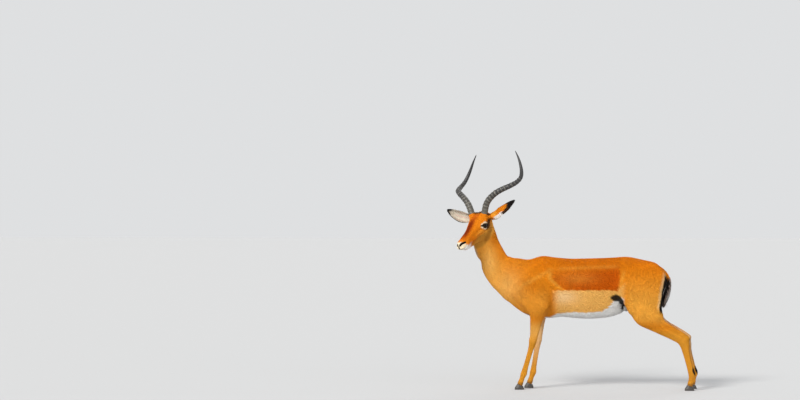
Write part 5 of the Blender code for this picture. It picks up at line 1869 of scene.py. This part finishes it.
def makeLashes(material):  # locks rooted along the upper edge b = h (1 - place^2)^0.9, sprayed outwards
    roots, ways, normals = [], [], []
    each = lashes["count"]
    for hand in (1, -1):
        centre, long, upward, gaze = eyes[hand]
        place = np.linspace(lashes["from"], lashes["to"], each) + 0.01 * (dice.random(each) - 0.5)
        a = place * np.where(place > 0, eyeSize["front"], eyeSize["length"])
        b = eyeSize["upper"] * (1 - place**2) ** 0.9 + 0.0008
        c = np.sqrt(np.maximum((eyeSize["radius"] + 0.0012) ** 2 - a**2 - b**2, 0))
        roots.append(centre + a[:, None] * long + b[:, None] * upward + c[:, None] * gaze)
        spray = 0.25 * (dice.random(each) - 0.5) + 0.5 * place
        ways.append(unit(gaze[None] * 0.9 + upward * 0.12 + spray[:, None] * long))
        normals.append(np.tile(upward, (each, 1)))
    root, way, normal = (np.vstack(group) for group in (roots, ways, normals))
    count = len(root)
    least, more = lashes["length"]
    length = least + more * dice.random(count)
    width, lift = np.full(count, lashes["width"]), np.full(count, lashes["lift"])
    points = locks(root, unit(normal), way, length, width, lift, np.zeros(count, bool))
    spots = np.stack([np.arange(count) % 16, np.arange(count) // 16], axis=1) * 0.01
    uv = packed(np.zeros(count, int), spots)
    coatPiece("lashes", points, np.tile(dye["black"] * 0.5, (count, 1)), dice.random(count), uv, material)


# The animal put together
skin = newPiece("skin", skinPoints, skinFaces)
addColour(skin, "hide", hideColour(skinPoints, skinNormals))
skin.data.materials.append(skinMaterial())
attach(skin, "root")
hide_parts("trunk", "neck", "head", "tail")
limbs = ("ear_", "forearm_", "fore_cannon_", "thigh_", "gaskin_", "hind_cannon_")
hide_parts(*(limb + side for limb in limbs for side in ("left", "right")))
print("skin placed")

hornLooks, eyeLooks, hoofLooks = hornMaterial(), eyeMaterial(), hoofMaterial()
for hand, side in ((1, "left"), (-1, "right")):
    horn = makeHorn(hand, "horn" + side.capitalize())
    horn.data.materials.append(hornLooks)
    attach(horn, "root")
    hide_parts("horn_" + side)
    makeEye(hand, "eye" + side.capitalize(), eyeLooks)
    for legs, joints in (("fore", foreJoints), ("hind", hindJoints)):
        for inner, place in ((hand, "inner"), (-hand, "outer")):
            name = "hoof" + legs.capitalize() + side.capitalize() + place.capitalize()
            makeHoof(joints[hand][-1], inner, name, "_".join(("hoof", legs, side, place)), hoofLooks)
print("horns, eyes and hooves made")

coatLooks = coatMaterial()
makeCoat(coatLooks)
makeLashes(coatLooks)


# Studio: pale floor, soft lights, camera
stage = {
    "floor": (0.510, 0.516, 0.524),
    "halfFloor": 60.0,
    "sky": (0.80, 0.81, 0.82),
    "skyStrength": 0.92,
    "key": ((35.0, -34.0), 2.95, 18.0, (1.0, 0.97, 0.92)),  # height and bearing, strength, softness
    "fill": ((20.0, 30.0), 0.7, 60.0, (0.96, 0.97, 1.0)),
    "rim": ((35.0, 160.0), 0.5, 40.0, (1.0, 0.98, 0.95)),
    "lens": 100,
    "camera": (0.0, -15.1, 1.28),
    "cameraTurn": 4.41,  # degrees to the left of straight across the animal
}
scene.view_settings.view_transform = "Standard"
world = bpy.data.worlds.new("studio")
world.use_nodes = True
world.node_tree.nodes["Background"].inputs["Color"].default_value = solidColour(stage["sky"])
world.node_tree.nodes["Background"].inputs["Strength"].default_value = stage["skyStrength"]
scene.world = world


def makeFloor():
    half = stage["halfFloor"]
    corners = np.array([(-half, -half, 0), (half, -half, 0), (half, half, 0), (-half, half, 0)])
    floor = newPiece("floor", corners, np.array([(0, 1, 2), (0, 2, 3)]), smooth=False)
    material, shader = newMaterial("paleFloor")
    graph = Graph(material)
    speckle = graph.noise(graph.place(), 30.0, 4.0)
    graph.finish(shader, graph.dimmed(solidColour(stage["floor"]), speckle, 0.985, 1.01), speckle, 0.85, 0.95)
    shader.inputs["Specular IOR Level"].default_value = 0.1
    floor.data.materials.append(material)


def makeLight(name):  # a wide sun; bearing 0 shines from the camera's side, -90 from the animal's front
    (height, bearing), strength, softness, tint = stage[name]
    height, bearing = math.radians(height), math.radians(bearing)
    light = bpy.data.lights.new(name, "SUN")
    light.energy = strength
    light.angle = math.radians(softness)
    light.color = tint
    holder = bpy.data.objects.new(name, light)
    level = math.cos(height)
    source = Vector((math.sin(bearing) * level, -math.cos(bearing) * level, math.sin(height)))
    holder.rotation_euler = (-source).to_track_quat("-Z", "Y").to_euler()
    holder.location = source * 8
    scene.collection.objects.link(holder)


makeFloor()
for name in ("key", "fill", "rim"):
    makeLight(name)

camera = bpy.data.cameras.new("camera")
camera.lens = stage["lens"]
camera.sensor_width = 36
holder = bpy.data.objects.new("camera", camera)
holder.location = stage["camera"]
holder.rotation_euler = (math.radians(90), 0.0, math.radians(stage["cameraTurn"]))
scene.collection.objects.link(holder)
scene.camera = holder
